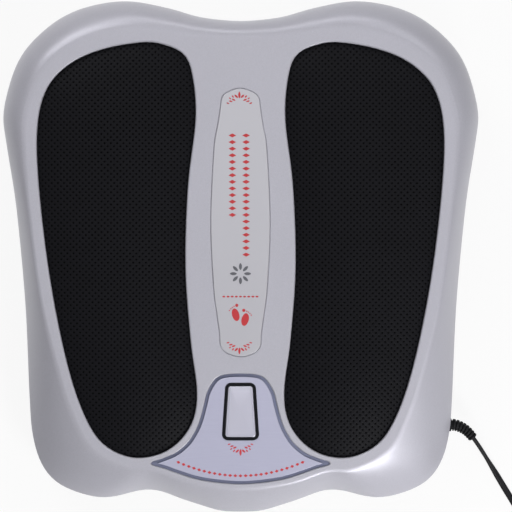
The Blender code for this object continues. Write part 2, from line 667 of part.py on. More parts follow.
def base_tray(deck):
    top = PARTING_HEIGHT - GAP
    levels = [(inset, FLOOR_BOTTOM + rise) for inset, rise in TUCK_STEPS] + [(0.0, top)]
    levels += [(LIP_INSET, top), (LIP_INSET, top + LIP_HEIGHT)]
    levels += [(LIP_INSET + LIP_THICKNESS, top + LIP_HEIGHT)]
    floor = FLOOR_BOTTOM + FLOOR_THICKNESS
    inner = LIP_INSET + LIP_THICKNESS
    levels += [(inner, floor + 2 * FLOOR_CURVE), (TUCK_STEPS[0][0] + FLOOR_CURVE, floor)]
    mesh = bmesh.new()
    add_loft(mesh, [[Vector((p.x, p.y, z)) for p in moved_out(PARTING_RING, -inset)]
                    for inset, z in levels])
    tray = make("base_tray", "grey_plastic", mesh)

    sink = FLOOR_THICKNESS / 2
    bosses = bmesh.new()
    for u, v in screw_places():
        add_cylinder(bosses, (u, on_deck(u, v).y), BOSS_RADIUS, FLOOR_BOTTOM + sink,
                     PARTING_HEIGHT - GAP, 10)
    for _, foot_x, foot_y in foot_places():
        add_cylinder(bosses, (foot_x, foot_y), FOOT_RADIUS + 2 * FLOOR_THICKNESS,
                     FLOOR_BOTTOM + sink, floor + FOOT_RECESS, 12)
    combine(tray, "UNION", bosses)
    columns = bmesh.new()
    for _, side in SIDES:
        for u, v in PLATE_COLUMNS:
            seat = on_deck(u, v, PLATE_TOP - PLATE_THICKNESS - GAP)
            add_column(columns, side * u, seat)
        for u, v in CASE_COLUMNS:
            seat = on_deck(u, v, CASE_FLOOR_W - GAP)
            add_column(columns, side * u, seat)
    combine(tray, "UNION", columns)

    cuts = bmesh.new()
    for _, foot_x, foot_y in foot_places():
        add_cylinder(cuts, (foot_x, foot_y), FOOT_RADIUS + GAP, FLOOR_BOTTOM - OVERRUN,
                     FLOOR_BOTTOM + FOOT_RECESS)
    for u, v in screw_places():
        middle = (u, on_deck(u, v).y)
        add_turned(cuts, [(SCREW_HEAD_RADIUS + GAP, FLOOR_BOTTOM - OVERRUN),
                          (SCREW_HEAD_RADIUS + GAP, FLOOR_BOTTOM + COUNTERBORE_DEPTH),
                          (SCREW_RADIUS + GAP, FLOOR_BOTTOM + COUNTERBORE_DEPTH),
                          (SCREW_RADIUS + GAP, PARTING_HEIGHT + OVERRUN)], 10, middle)
    for _, side in SIDES:
        for i in range(VENT_COUNT):
            v = VENT_V + (i - (VENT_COUNT - 1) / 2) * VENT_PITCH
            low = min(side * VENT_U, side * (VENT_U + VENT_LENGTH))
            add_box(cuts, (low, v - VENT_WIDTH / 2, FLOOR_BOTTOM - OVERRUN),
                    (low + VENT_LENGTH, v + VENT_WIDTH / 2, floor + OVERRUN))
    combine(tray, "DIFFERENCE", cuts)
    outlet = bmesh.new()
    add_cylinder(outlet, (0, 0), RELIEF_RADIUS + GAP, RELIEF_START - OVERRUN, HALF_WIDTH, RELIEF_SIDES)
    bmesh.ops.transform(outlet, matrix=Matrix.Rotation(math.pi / 2, 4, "Y"), verts=outlet.verts)
    combine(tray, "DIFFERENCE", outlet, None, (0, EXIT_V, EXIT_HEIGHT))
    return tray


def add_column(mesh, x, seat):
    """A column from the tray's floor to a sloped seat square to the deck."""
    foot = circle(COLUMN_RADIUS, 8, (x, seat.y))
    slope = math.tan(DECK_TILT)
    low = [Vector((p.x, p.y, FLOOR_BOTTOM + FLOOR_THICKNESS / 2)) for p in foot]
    high = [Vector((p.x, p.y, seat.z + (p.y - seat.y) * slope)) for p in foot]
    add_loft(mesh, [low, high])


# Pieces set into the deck

def medial_point(side, v):
    """The point of the line through the three head axes that is level with v, short of its ends."""
    (_, toe_u, toe_v), (_, arch_u, arch_v), (_, heel_u, heel_v) = HEADS
    v = min(max(v, heel_v), toe_v)
    if v > arch_v:
        share = (v - arch_v) / (toe_v - arch_v)
        return Vector((side * (arch_u + (toe_u - arch_u) * share), v))
    share = (v - heel_v) / (arch_v - heel_v)
    return Vector((side * (heel_u + (arch_u - heel_u) * share), v))


def mesh_cover(name, side, deck):
    """A stretched fabric cover: a hem under the deck's edge and a low crown over the heads."""
    edge = pad_outline(side, -COVER_EDGE_RISE)
    hem = pad_outline(side, COVER_TUCK)
    top = [[Vector((p.x, p.y, FLANGE_TOP)) for p in ring] for ring in (hem, edge)]
    low = [[Vector((p.x, p.y, FLANGE_TOP - COVER_HEM)) for p in ring] for ring in (hem, edge)]
    for share, rise in zip(COVER_RING_SHARES, COVER_RISE_SHARES):
        w = FLANGE_TOP + (COVER_CROWN - FLANGE_TOP) * rise
        ring = [p.lerp(medial_point(side, p.y), share) for p in edge]
        top.append([Vector((p.x, p.y, w)) for p in ring])
        low.append([Vector((p.x, p.y, w - COVER_THICKNESS)) for p in ring])
    mesh = bmesh.new()
    add_loft(mesh, low[::-1] + top)
    return make(name, "black_mesh", mesh, deck)


def pad_frame(name, side, deck):
    outer, inner = pad_outline(side, FRAME_OUTSET), pad_outline(side, -FRAME_INSET)
    bottom = FRAME_TOP - FRAME_HEIGHT
    mesh = bmesh.new()
    add_hoop(mesh, [(outer, bottom), (outer, FRAME_TOP), (inner, FRAME_TOP), (inner, bottom)])
    return make(name, "black_plastic", mesh, deck)


def control_fascia(deck):
    mesh = bmesh.new()
    add_prism(mesh, panel_outline(-FASCIA_MARGIN), GAP - POCKET_DEPTH, GAP - POCKET_DEPTH + FASCIA_THICKNESS)
    fascia = make("control_fascia", "brushed_panel", mesh, deck)
    hole = bmesh.new()
    add_prism(hole, button_outline(BEZEL_WIDTH + GAP), -POCKET_DEPTH - OVERRUN, OVERRUN)
    combine(fascia, "DIFFERENCE", hole, deck)


def button_bezel(deck):
    flange_bottom = FLANGE_TOP - BEZEL_FLANGE_THICKNESS
    outer, inner = button_outline(BEZEL_WIDTH), button_outline(GAP)
    flange = button_outline(BEZEL_WIDTH + BEZEL_FLANGE)
    mesh = bmesh.new()
    add_hoop(mesh, [(outer, BEZEL_PROUD), (outer, FLANGE_TOP), (flange, FLANGE_TOP),
                    (flange, flange_bottom), (inner, flange_bottom), (inner, BEZEL_PROUD)])
    make("button_bezel", "black_plastic", mesh, deck)


def button_cap(deck):
    """The push button: a crowned cap, a flange that stops under the bezel, and a stem."""
    middle_v = BUTTON_MIDDLE_V
    flange_top = FLANGE_TOP - BEZEL_FLANGE_THICKNESS - GAP
    flange_bottom = flange_top - CAP_FLANGE_THICKNESS
    levels = [(CAP_FLANGE, flange_bottom), (CAP_FLANGE, flange_top), (0, flange_top),
              (0, CAP_PROUD - CAP_CROWN), (-CAP_CROWN, CAP_PROUD)]
    mesh = bmesh.new()
    add_loft(mesh, [[Vector((p.x, p.y - middle_v, w)) for p in button_outline(outset)]
                    for outset, w in levels])
    cap = make("button_cap", "gloss_button", mesh, deck, (0, middle_v, 0))
    stem = bmesh.new()
    add_cylinder(stem, (0, 0), CAP_STEM_RADIUS, flange_bottom - CAP_STEM_LENGTH,
                 flange_top, 10)
    combine(cap, "UNION", stem, deck, (0, middle_v, 0))


def control_board(deck):
    bottom = BOARD_TOP - BOARD_THICKNESS
    mesh = bmesh.new()
    add_box(mesh, (-BOARD_HALF_WIDTH, BOARD_FRONT_V, bottom), (BOARD_HALF_WIDTH, BOARD_REAR_V, BOARD_TOP))
    make("control_board", "circuit_board", mesh, deck)
    middle_v = BUTTON_MIDDLE_V
    stem_low = (FLANGE_TOP - BEZEL_FLANGE_THICKNESS - GAP - CAP_FLANGE_THICKNESS - CAP_STEM_LENGTH)
    nib_top = stem_low - BUTTON_TRAVEL - GAP
    body_top = nib_top - SWITCH_NIB_HEIGHT
    half = SWITCH_HALF_WIDTH
    mesh = bmesh.new()
    add_box(mesh, (-half, middle_v - half, BOARD_TOP + GAP), (half, middle_v + half, body_top))
    switch = make("push_switch", "black_plastic", mesh, deck)
    nib = bmesh.new()
    add_cylinder(nib, (0, middle_v), SWITCH_NIB_RADIUS, body_top - SWITCH_NIB_HEIGHT, nib_top, 10)
    combine(switch, "UNION", nib, deck)


def label_plate(deck):
    seat = GAP - LABEL_RECESS
    edge = LABEL_THICKNESS / 3
    levels = [(-LABEL_MARGIN, seat), (-LABEL_MARGIN, seat + LABEL_THICKNESS - edge),
              (-LABEL_MARGIN - edge, seat + LABEL_THICKNESS)]
    mesh = bmesh.new()
    add_loft(mesh, [[Vector((p.x, p.y, w)) for p in label_outline(outset)] for outset, w in levels])
    make("label_plate", "label_silver", mesh, deck)


# Gear train

def gear_outline(teeth, module, pressure, clearance, backlash, first, middle_point=True):
    """A clockwise stub involute outline, with a tooth centred at the angle first."""
    pitch = module * teeth / 2
    base = pitch * math.cos(pressure)
    tip = pitch + ADDENDUM_SHARE * module
    root = pitch - ADDENDUM_SHARE * module - clearance
    at_pitch = (math.pi * module - backlash) / (4 * pitch)

    def half_angle(radius):
        angle = math.acos(base / max(radius, base))
        return at_pitch + math.tan(pressure) - pressure - math.tan(angle) + angle
    radii = (root, pitch, tip) if middle_point else (root, tip)
    points = []
    for k in range(teeth):
        centre = first + 2 * math.pi * k / teeth
        flank = [(radius, half_angle(radius)) for radius in radii]
        for radius, angle in [(r, -a) for r, a in flank] + [(r, a) for r, a in flank[::-1]]:
            points.append(Vector((radius * math.cos(centre + angle), radius * math.sin(centre + angle))))
    return points[::-1]


def meshed_angle(first, teeth, middle, other_teeth, other_middle):
    """The angle of a tooth of the other gear that puts it in mesh with this one."""
    towards = math.atan2(other_middle[1] - middle[1], other_middle[0] - middle[0])
    phase = 0.5 - (towards - first) * teeth / (2 * math.pi)
    return towards + math.pi - phase * 2 * math.pi / other_teeth


def tooth_angles():
    """The first tooth's angle of each gear on the right side; the left side mirrors them."""
    arch = (ARCH_U, ARCH_V)
    angles = {"arch": 0.0}
    for name, u, v in HEADS:
        if name != "arch":
            angles[name] = meshed_angle(0.0, WHEEL_TEETH, arch, WHEEL_TEETH, (u, v))
    angles["pinion"] = meshed_angle(0.0, WHEEL_TEETH, arch, PINION_TEETH, (REDUCER_U, ARCH_V))
    return angles


def on_side(side, angle):
    return angle if side > 0 else math.pi - angle


def head_gear(name, side, first, place, deck):
    mesh = bmesh.new()
    add_prism(mesh, gear_outline(WHEEL_TEETH, MODULE, PRESSURE_ANGLE, TOOTH_CLEARANCE, BACKLASH,
                                 on_side(side, first), False), GEAR_BOTTOM, GEAR_TOP)
    gear = make(name, "white_acetal", mesh, deck, place)
    bore = bmesh.new()
    add_cylinder(bore, (0, 0), clear_radius(AXLE_RADIUS, RUNNING_CLEARANCE, AXLE_SIDES),
                 GEAR_BOTTOM - OVERRUN, GEAR_TOP + OVERRUN, AXLE_SIDES)
    combine(gear, "DIFFERENCE", bore, deck, place)


KNUCKLE_PROFILE_SHARES = ((1, 0.35), (0.88, 0.70), (0.54, 0.93), (0, 1))


def massage_head(name, place, deck):
    """A disc with three domed knuckles and a hub, on a blind bore that drops over the axle."""
    top = HEAD_BOTTOM + HEAD_DISC_THICKNESS
    rim = HEAD_DISC_THICKNESS / 4
    mesh = bmesh.new()
    add_turned(mesh, [(HEAD_RADIUS, HEAD_BOTTOM), (HEAD_RADIUS, top - rim), (HEAD_RADIUS - rim, top)], 20)
    head = make(name, "knuckle_plastic", mesh, deck, place)
    knuckles = bmesh.new()
    for k in range(KNUCKLE_COUNT):
        angle = 2 * math.pi * k / KNUCKLE_COUNT
        middle = (KNUCKLE_CIRCLE * math.sin(angle), KNUCKLE_CIRCLE * math.cos(angle))
        profile = [(KNUCKLE_RADIUS, top - HEAD_DISC_THICKNESS / 2)]
        profile += [(KNUCKLE_RADIUS * out, top + (KNUCKLE_TOP - top) * up)
                    for out, up in KNUCKLE_PROFILE_SHARES]
        add_turned(knuckles, profile, 10, middle)
    add_cylinder(knuckles, (0, 0), HEAD_HUB_RADIUS, top - HEAD_DISC_THICKNESS / 2,
                 top + HEAD_HUB_HEIGHT, 8)
    combine(head, "UNION", knuckles, deck, place)
    bore = bmesh.new()
    add_cylinder(bore, (0, 0), clear_radius(AXLE_RADIUS, RUNNING_CLEARANCE, AXLE_SIDES),
                 HEAD_BOTTOM - OVERRUN, HEAD_BOTTOM + HEAD_BORE_DEPTH, AXLE_SIDES)
    combine(head, "DIFFERENCE", bore, deck, place)


def head_axle(name, place, deck):
    flange = PLATE_TOP + GAP
    mesh = bmesh.new()
    add_turned(mesh, [(AXLE_RADIUS, PLATE_BOTTOM), (AXLE_RADIUS, flange), (AXLE_FLANGE_RADIUS, flange),
                      (AXLE_FLANGE_RADIUS, flange + AXLE_FLANGE_HEIGHT),
                      (AXLE_RADIUS, flange + AXLE_FLANGE_HEIGHT),
                      (AXLE_RADIUS, HEAD_BOTTOM + HEAD_BORE_DEPTH - GAP)], AXLE_SIDES)
    make(name, "steel", mesh, deck, place)


def gear_deck(name, side, deck):
    """The plate that carries three head axles and the lamp."""
    points = []
    for _, u, v in HEADS:
        points += circle(PLATE_ROUND, 24, (side * u, v))
    points += circle(LAMP_RADIUS, 12, (side * LAMP_U, LAMP_V))
    points += circle(LAMP_RADIUS, 12, (side * LAMP_U, -LAMP_V))
    mesh = bmesh.new()
    add_prism(mesh, hull_of(points), PLATE_BOTTOM, PLATE_TOP)
    plate = make(name, "grey_plastic", mesh, deck)
    bores = bmesh.new()
    for _, u, v in HEADS:
        add_cylinder(bores, (side * u, v), AXLE_RADIUS + GAP, PLATE_BOTTOM - OVERRUN,
                     PLATE_TOP + OVERRUN, 12)
    combine(plate, "DIFFERENCE", bores, deck)


def infrared_lamp(name, side, deck):
    seat = PLATE_TOP + GAP
    dome = LAMP_HEIGHT - LAMP_COLLAR
    shoulder = LAMP_RADIUS - LAMP_COLLAR
    profile = [(LAMP_RADIUS, seat), (LAMP_RADIUS, seat + LAMP_COLLAR), (shoulder, seat + LAMP_COLLAR)]
    for k in range(1, 4):
        angle = math.pi / 2 * k / 4
        profile.append((shoulder * math.cos(angle), seat + LAMP_COLLAR + dome * math.sin(angle)))
    profile.append((0, seat + LAMP_HEIGHT))
    mesh = bmesh.new()
    add_turned(mesh, profile, 10)
    make(name, "lamp_red", mesh, deck, (side * LAMP_U, LAMP_V, 0))


def reducer_gear(name, side, pinion_angle, deck):
    """A worm wheel and a pinion in one piece, on a neck between them."""
    low = WORM_AXIS_W - WORM_WHEEL_THICKNESS / 2
    high = WORM_AXIS_W + WORM_WHEEL_THICKNESS / 2
    first = math.pi if side > 0 else math.pi / WORM_WHEEL_TEETH
    rings = []
    for w in (low, high):
        twist = (w - WORM_AXIS_W) * math.tan(LEAD_ANGLE) / WORM_WHEEL_RADIUS
        outline = gear_outline(WORM_WHEEL_TEETH, WORM_MODULE, WORM_PRESSURE_ANGLE, WORM_CLEARANCE,
                               WORM_BACKLASH, first + twist, False)
        rings.append([Vector((p.x, p.y, w)) for p in outline])
    place = (side * REDUCER_U, ARCH_V, 0)
    mesh = bmesh.new()
    add_loft(mesh, rings)
    gear = make(name, "white_acetal", mesh, deck, place)
    upper = bmesh.new()
    add_prism(upper, gear_outline(PINION_TEETH, MODULE, PRESSURE_ANGLE, TOOTH_CLEARANCE, BACKLASH,
                                  on_side(side, pinion_angle)), GEAR_BOTTOM, PINION_TOP)
    combine(gear, "UNION", upper, deck, place)
    neck = bmesh.new()
    add_cylinder(neck, (0, 0), NECK_RADIUS, high - WORM_WHEEL_THICKNESS / 2,
                 GEAR_BOTTOM + GEAR_THICKNESS / 2)
    combine(gear, "UNION", neck, deck, place)
    bore = bmesh.new()
    add_cylinder(bore, (0, 0), clear_radius(REDUCER_AXLE_RADIUS, RUNNING_CLEARANCE, AXLE_SIDES),
                 low - OVERRUN, PINION_TOP + OVERRUN, AXLE_SIDES)
    combine(gear, "DIFFERENCE", bore, deck, place)


def reducer_axle(name, side, deck):
    floor = CASE_FLOOR_W + CASE_FLOOR_THICKNESS + GAP
    shoulder = WORM_AXIS_W - WORM_WHEEL_THICKNESS / 2 - GAP
    mesh = bmesh.new()
    add_turned(mesh, [(NECK_RADIUS, floor), (NECK_RADIUS, shoulder), (REDUCER_AXLE_RADIUS, shoulder),
                      (REDUCER_AXLE_RADIUS, PINION_TOP + GAP)], AXLE_SIDES)
    make(name, "steel", mesh, deck, (side * REDUCER_U, ARCH_V, 0))


def worm_radius_rows():
    """The thread's section along the axis, as (offset from its middle, radius) in one lead."""
    addendum = ADDENDUM_SHARE * WORM_MODULE
    root = addendum + WORM_CLEARANCE
    half = (WORM_LEAD - WORM_BACKLASH) / 4
    lean = math.tan(WORM_PRESSURE_ANGLE)
    return ((-half - root * lean, WORM_PITCH_RADIUS - root),
            (-half + addendum * lean, WORM_PITCH_RADIUS + addendum),
            (half - addendum * lean, WORM_PITCH_RADIUS + addendum),
            (half + root * lean, WORM_PITCH_RADIUS - root))


def motor_shaft(deck):
    """The shaft with its single-start right-hand worm, which turns both reducers."""
    rows = worm_radius_rows()
    count = len(rows)
    start = ARCH_V + WORM_LEAD / 4 - WORM_LEAD * ((WORM_TURNS + 1) // 2)
    mesh = bmesh.new()
    columns = []
    for i in range(WORM_TURN_STEPS):
        angle = 2 * math.pi * i / WORM_TURN_STEPS
        column = []
        for turn in range(WORM_TURNS):
            for offset, radius in rows:
                y = start + WORM_LEAD * (turn + i / WORM_TURN_STEPS) + offset
                column.append(mesh.verts.new((radius * math.sin(angle), y, radius * math.cos(angle))))
        columns.append(column)
    total = WORM_TURNS * count
    for i, column in enumerate(columns[:-1]):
        for j in range(total - 1):
            after = columns[i + 1]
            mesh.faces.new((column[j], after[j], after[j + 1], column[j + 1]))
    for j in range(total - 1 - count):
        a, b = columns[-1], columns[0]
        mesh.faces.new((a[j], b[j + count], b[j + count + 1], a[j + 1]))
    low_loop = [column[0] for column in columns] + [columns[0][j] for j in range(count, 0, -1)]
    high_loop = [column[-1] for column in columns]
    high_loop += [columns[-1][j] for j in range(total - 2, total - 2 - count, -1)]
    for loop in (low_loop, high_loop):
        middle = mesh.verts.new((0, loop[0].co.y, 0))
        for a, b in zip(loop, loop[1:] + loop[:1]):
            mesh.faces.new((middle, a, b))
    shaft = make("motor_shaft", "steel", mesh, deck, (0, 0, WORM_AXIS_W))
    rear = MOTOR_START - MOTOR_SHOULDER_HEIGHT + MOTOR_BORE_DEPTH - GAP
    rod = bmesh.new()
    add_turned(rod, [(SHAFT_RADIUS, SHAFT_FRONT), (SHAFT_RADIUS, rear)], 12)
    bmesh.ops.transform(rod, matrix=Matrix.Rotation(-math.pi / 2, 4, "X"), verts=rod.verts)
    combine(shaft, "UNION", rod, deck, (0, 0, WORM_AXIS_W))


def motor_can(deck):
    front = MOTOR_START - MOTOR_SHOULDER_HEIGHT
    rear = MOTOR_START + MOTOR_LENGTH
    bore = SHAFT_RADIUS + RUNNING_CLEARANCE
    edge = MOTOR_SHOULDER_HEIGHT / 2
    mesh = bmesh.new()
    add_turned(mesh, [(0, front + MOTOR_BORE_DEPTH), (bore, front + MOTOR_BORE_DEPTH), (bore, front),
                      (MOTOR_SHOULDER, front), (MOTOR_SHOULDER, MOTOR_START),
                      (MOTOR_RADIUS - edge, MOTOR_START), (MOTOR_RADIUS, MOTOR_START + edge),
                      (MOTOR_RADIUS, rear - edge), (MOTOR_RADIUS - edge, rear), (MOTOR_SHOULDER, rear),
                      (MOTOR_SHOULDER, rear + edge), (0, rear + edge)])
    bmesh.ops.transform(mesh, matrix=Matrix.Rotation(-math.pi / 2, 4, "X"), verts=mesh.verts)
    make("motor_can", "steel", mesh, deck, (0, 0, WORM_AXIS_W))


def along_motor(mesh, outline, start, length):
    """A prism that runs along the motor, from an outline of (u, w) points about the motor's axis."""
    add_prism(mesh, outline, start, start + length)
    bmesh.ops.transform(mesh, matrix=Matrix.Rotation(-math.pi / 2, 4, "X") @ Matrix.Scale(-1, 4, (0, 1, 0)),
                        verts=mesh.verts)


def motor_strap(deck):
    """A steel strap over the motor, with a tab each side that lies on the saddle."""
    low = SADDLE_TOP + GAP - WORM_AXIS_W
    inner = MOTOR_RADIUS + GAP
    outer = inner + STRAP_THICKNESS
    steps = 10
    tab = SADDLE_HALF_WIDTH + STRAP_TAB / 2

    def arc(radius, height):
        end = math.asin(height / radius)
        return [(radius * math.cos(end + (math.pi - 2 * end) * k / steps),
                 radius * math.sin(end + (math.pi - 2 * end) * k / steps)) for k in range(steps + 1)]
    outline = [(tab, low), (tab, low + STRAP_THICKNESS)] + arc(outer, low + STRAP_THICKNESS)
    outline += [(-tab, low + STRAP_THICKNESS), (-tab, low)] + arc(inner, low)[::-1]
    mesh = bmesh.new()
    along_motor(mesh, outline, SADDLE_STARTS[1] - (STRAP_LENGTH - SADDLE_LENGTH) / 2, STRAP_LENGTH)
    make("motor_strap", "steel", mesh, deck, (0, 0, WORM_AXIS_W))


def gearbox_case(deck):
    """An open tray with two saddles for the motor and a post for the shaft's nose."""
    half, corner = CASE_HALF_WIDTH, CASE_CORNER
    corners = [(-half, CASE_FRONT), (-half, CASE_REAR), (half, CASE_REAR), (half, CASE_FRONT)]
    outer = rounded_polygon(corners, corner)
    inner = moved_out(outer, -CASE_WALL)
    floor = CASE_FLOOR_W + CASE_FLOOR_THICKNESS
    mesh = bmesh.new()
    add_loft(mesh, [[Vector((p.x, p.y, w)) for p in ring]
                    for ring, w in ((outer, CASE_FLOOR_W), (outer, CASE_WALL_TOP),
                                    (inner, CASE_WALL_TOP), (inner, floor))])
    case = make("gearbox_case", "grey_plastic", mesh, deck)
    blocks = bmesh.new()
    sink = floor - CASE_FLOOR_THICKNESS / 2
    for start in SADDLE_STARTS:
        width = SADDLE_HALF_WIDTH + STRAP_TAB
        add_box(blocks, (-width, start, sink), (width, start + SADDLE_LENGTH, SADDLE_TOP))
    add_box(blocks, (-NOSE_HALF_WIDTH, NOSE_START, sink),
            (NOSE_HALF_WIDTH, NOSE_START + NOSE_LENGTH, WORM_AXIS_W + NOSE_HALF_WIDTH))
    combine(case, "UNION", blocks, deck)
    cradle = bmesh.new()
    add_cylinder(cradle, (0, 0), MOTOR_RADIUS + GAP, SADDLE_STARTS[0] - OVERRUN,
                 SADDLE_STARTS[1] + SADDLE_LENGTH + OVERRUN, 20)
    add_cylinder(cradle, (0, 0), SHAFT_RADIUS + RUNNING_CLEARANCE, NOSE_START - OVERRUN,
                 NOSE_START + NOSE_LENGTH + OVERRUN, 12)
    bmesh.ops.transform(cradle, matrix=Matrix.Rotation(-math.pi / 2, 4, "X"), verts=cradle.verts)
    combine(case, "DIFFERENCE", cradle, deck, (0, 0, WORM_AXIS_W))


# Feet and screws under the tray

def feet():
    edge = FLOOR_BOTTOM / 5
    top = FLOOR_BOTTOM + FOOT_RECESS - GAP
    for name, x, y in foot_places():
        mesh = bmesh.new()
        add_turned(mesh, [(FOOT_RADIUS - edge, 0), (FOOT_RADIUS, edge), (FOOT_RADIUS, top)])
        make(name, "black_rubber", mesh, None, (x, y, 0))


def case_screws():
    shoulder = FLOOR_BOTTOM + COUNTERBORE_DEPTH - GAP
    names = [f"{end}_{name}_screw" for end in ("front", "rear") for name, _ in SIDES]
    for name, (u, v) in zip(names, screw_places()):
        mesh = bmesh.new()
        add_turned(mesh, [(SCREW_HEAD_RADIUS, shoulder - SCREW_HEAD_HEIGHT), (SCREW_HEAD_RADIUS, shoulder),
                          (SCREW_RADIUS, shoulder), (SCREW_RADIUS, shoulder + SCREW_LENGTH)], 10)
        make(name, "steel", mesh, None, (u, on_deck(u, v).y, 0))


# Strain relief, cord and plug

def route_point(points, at):
    """A point of the open smooth curve through the given ones."""
    last = len(points) - 1
    index = min(int(at), last - 1)
    t = at - index
    p1, p2 = Vector(points[index]), Vector(points[index + 1])
    p0 = Vector(points[index - 1]) if index > 0 else 2 * p1 - p2
    p3 = Vector(points[index + 2]) if index + 2 <= last else 2 * p2 - p1
    return 0.5 * (2 * p1 + (p2 - p0) * t + (2 * p0 - 5 * p1 + 4 * p2 - p3) * t * t
                  + (3 * p1 - p0 - 3 * p2 + p3) * t ** 3)


class Route:
    """A smooth curve that can be asked for the point at a length along it."""

    def __init__(self, points):
        fine = 16
        count = (len(points) - 1) * fine
        self.spots = [route_point(points, i / fine) for i in range(count + 1)]
        self.runs = [0.0]
        for a, b in zip(self.spots, self.spots[1:]):
            self.runs.append(self.runs[-1] + (b - a).length)
        self.length = self.runs[-1]

    def at(self, run):
        k = 0
        while k < len(self.runs) - 2 and self.runs[k + 1] < run:
            k += 1
        share = (run - self.runs[k]) / (self.runs[k + 1] - self.runs[k])
        return self.spots[k].lerp(self.spots[k + 1], share)

    def along(self, run):
        reach = GAP
        return (self.at(min(run + reach, self.length)) - self.at(max(run - reach, 0))).normalized()


def strain_relief(route):
    """A ribbed sleeve clipped through the wall: a flange each side of it, then shrinking ribs."""
    radii = [(0, INNER_FLANGE_RADIUS), (FLANGE_LENGTH, INNER_FLANGE_RADIUS), (FLANGE_LENGTH, RELIEF_RADIUS),
             (OUTER_FLANGE_START, RELIEF_RADIUS), (OUTER_FLANGE_START, OUTER_FLANGE_RADIUS)]
    start = OUTER_FLANGE_START + FLANGE_LENGTH
    radii.append((start, OUTER_FLANGE_RADIUS))
    pitch = (RELIEF_LENGTH - start) / RELIEF_RIBS
    for k in range(RELIEF_RIBS):
        share = (k + 1) / RELIEF_RIBS
        rib = RELIEF_RADIUS + (RELIEF_TIP_RADIUS - RELIEF_RADIUS) * share
        groove = start + k * pitch
        radii += [(groove + pitch / 4, rib - RELIEF_RIB_DEPTH), (groove + pitch, rib)]
    mesh = bmesh.new()
    rings = []
    for run, radius in radii:
        middle, along = route.at(run), route.along(run)
        across = along.cross(Vector((0, 0, 1))).normalized()
        up = across.cross(along)
        rings.append([middle + across * p.x + up * p.y for p in circle(radius, RELIEF_SIDES)])
    add_loft(mesh, rings)
    make("strain_relief", "black_rubber", mesh)


def cord_section(sides):
    """The flat cord's section: half a width up and half a thickness across."""
    name = f"cord_section_{sides}"
    data = bpy.data.curves.new(name, "CURVE")
    spline = data.splines.new("POLY")
    spline.points.add(sides - 1)
    for point, p in zip(spline.points, circle(1, sides)):
        point.co = (p.x * CORD_THICKNESS / 2, p.y * CORD_WIDTH / 2, 0, 1)
    spline.use_cyclic_u = True
    section = add_object(name, data, None)
    section.hide_render = True
    section.display_type = "WIRE"
    return section


def cord_piece(name, points, turns, section):
    """A stretch of cord through points, each with the share of a quarter turn that it stands up."""
    data = bpy.data.curves.new(name, "CURVE")
    data.dimensions = "3D"
    data.twist_mode = "Z_UP"
    data.bevel_mode = "OBJECT"
    data.bevel_object = section
    data.use_fill_caps = True
    spline = data.splines.new("POLY")
    spline.points.add(len(points) - 1)
    for point, co, turn in zip(spline.points, points, turns):
        point.co = (*co, 1)
        point.tilt = (1 - turn) * math.pi / 2
    spline.use_smooth = True
    return add_object(name, data, "black_rubber")


def stretch(route, start, end):
    count = max(2, round((end - start) / CORD_STEP))
    return [route.at(start + (end - start) * i / count) for i in range(count + 1)]


def twist(share):
    for (a, low), (b, high) in zip(TWIST_SHARES, TWIST_SHARES[1:]):
        if share <= b:
            t = (share - a) / (b - a)
            return low + (high - low) * t * t * (3 - 2 * t)
    return TWIST_SHARES[-1][1]


def placed(points, start):
    return [Vector(point) + Vector(start) for point in points]


def coil_points(first):
    """Four turns in, a climb where they reverse, and four turns out on top, all one way round."""
    outer = COIL_INNER_RADIUS + COIL_TURNS * COIL_PITCH
    middle = Vector((first.x + outer, first.y))
    points = []
    for i in range(2 * COIL_TURNS * COIL_TURN_POINTS + 1):
        turns = i / COIL_TURN_POINTS
        from_middle = abs(COIL_TURNS - turns)
        dip = min(max((COIL_DIP_TURNS - from_middle) / COIL_DIP_EASE_TURNS, 0), 1)
        radius = COIL_INNER_RADIUS + COIL_PITCH * from_middle - COIL_DIP * dip * dip * (3 - 2 * dip)
        climb = min(max((turns - COIL_TURNS) * 2 + 0.5, 0), 1)
        height = first.z + COIL_LAYER_PITCH * climb * climb * (3 - 2 * climb)
        angle = math.pi + 2 * math.pi * turns
        points.append(Vector((middle.x + radius * math.cos(angle), middle.y + radius * math.sin(angle),
                              height)))
    points[0].y -= GAP
    return points


def least_coil_gap(points):
    """The least gap between two turns, from their distance across and their distance up."""
    least = math.inf
    apart = COIL_TURN_POINTS // 2
    for i, a in enumerate(points):
        for b in points[i + apart:]:
            across = (a - b).xy.length - CORD_THICKNESS
            up = abs(a.z - b.z) - CORD_WIDTH
            least = min(least, max(across, up))
    return least


def plug(tail):
    """A flat two-pin plug lying on the floor, its cord end towards the tail."""
    start = tail.at(tail.length)
    middle = Vector((start.x + GAP, start.y, start.z))
    mesh = bmesh.new()
    rings = []
    for along, wide, thick in PLUG_SECTION_SHARES:
        half_y, half_z = PLUG_PIN_WIDTH * wide / 2, PLUG_THICKNESS * thick / 2
        corner = min(half_y, half_z) * PLUG_CORNER_SHARE
        corners = [(-half_y, -half_z), (-half_y, half_z), (half_y, half_z), (half_y, -half_z)]
        rings.append([Vector((middle.x + along * PLUG_LENGTH, middle.y + p.x, middle.z + p.y))
                      for p in rounded_polygon(corners, corner, 2)])
    add_loft(mesh, rings)
    make("plug_body", "black_plastic", mesh)
    for name, side in (("left", 1), ("right", -1)):
        mesh = bmesh.new()
        tip = PIN_RADIUS / 2
        add_turned(mesh, [(PIN_RADIUS, 0), (PIN_RADIUS, PIN_LENGTH - tip), (tip, PIN_LENGTH)], 10)
        bmesh.ops.transform(mesh, matrix=Matrix.Rotation(math.pi / 2, 4, "Y"), verts=mesh.verts)
        make(f"plug_pin_{name}", "brass", mesh, None,
             (middle.x + PLUG_LENGTH + GAP, middle.y + side * PIN_SPACING / 2, middle.z))


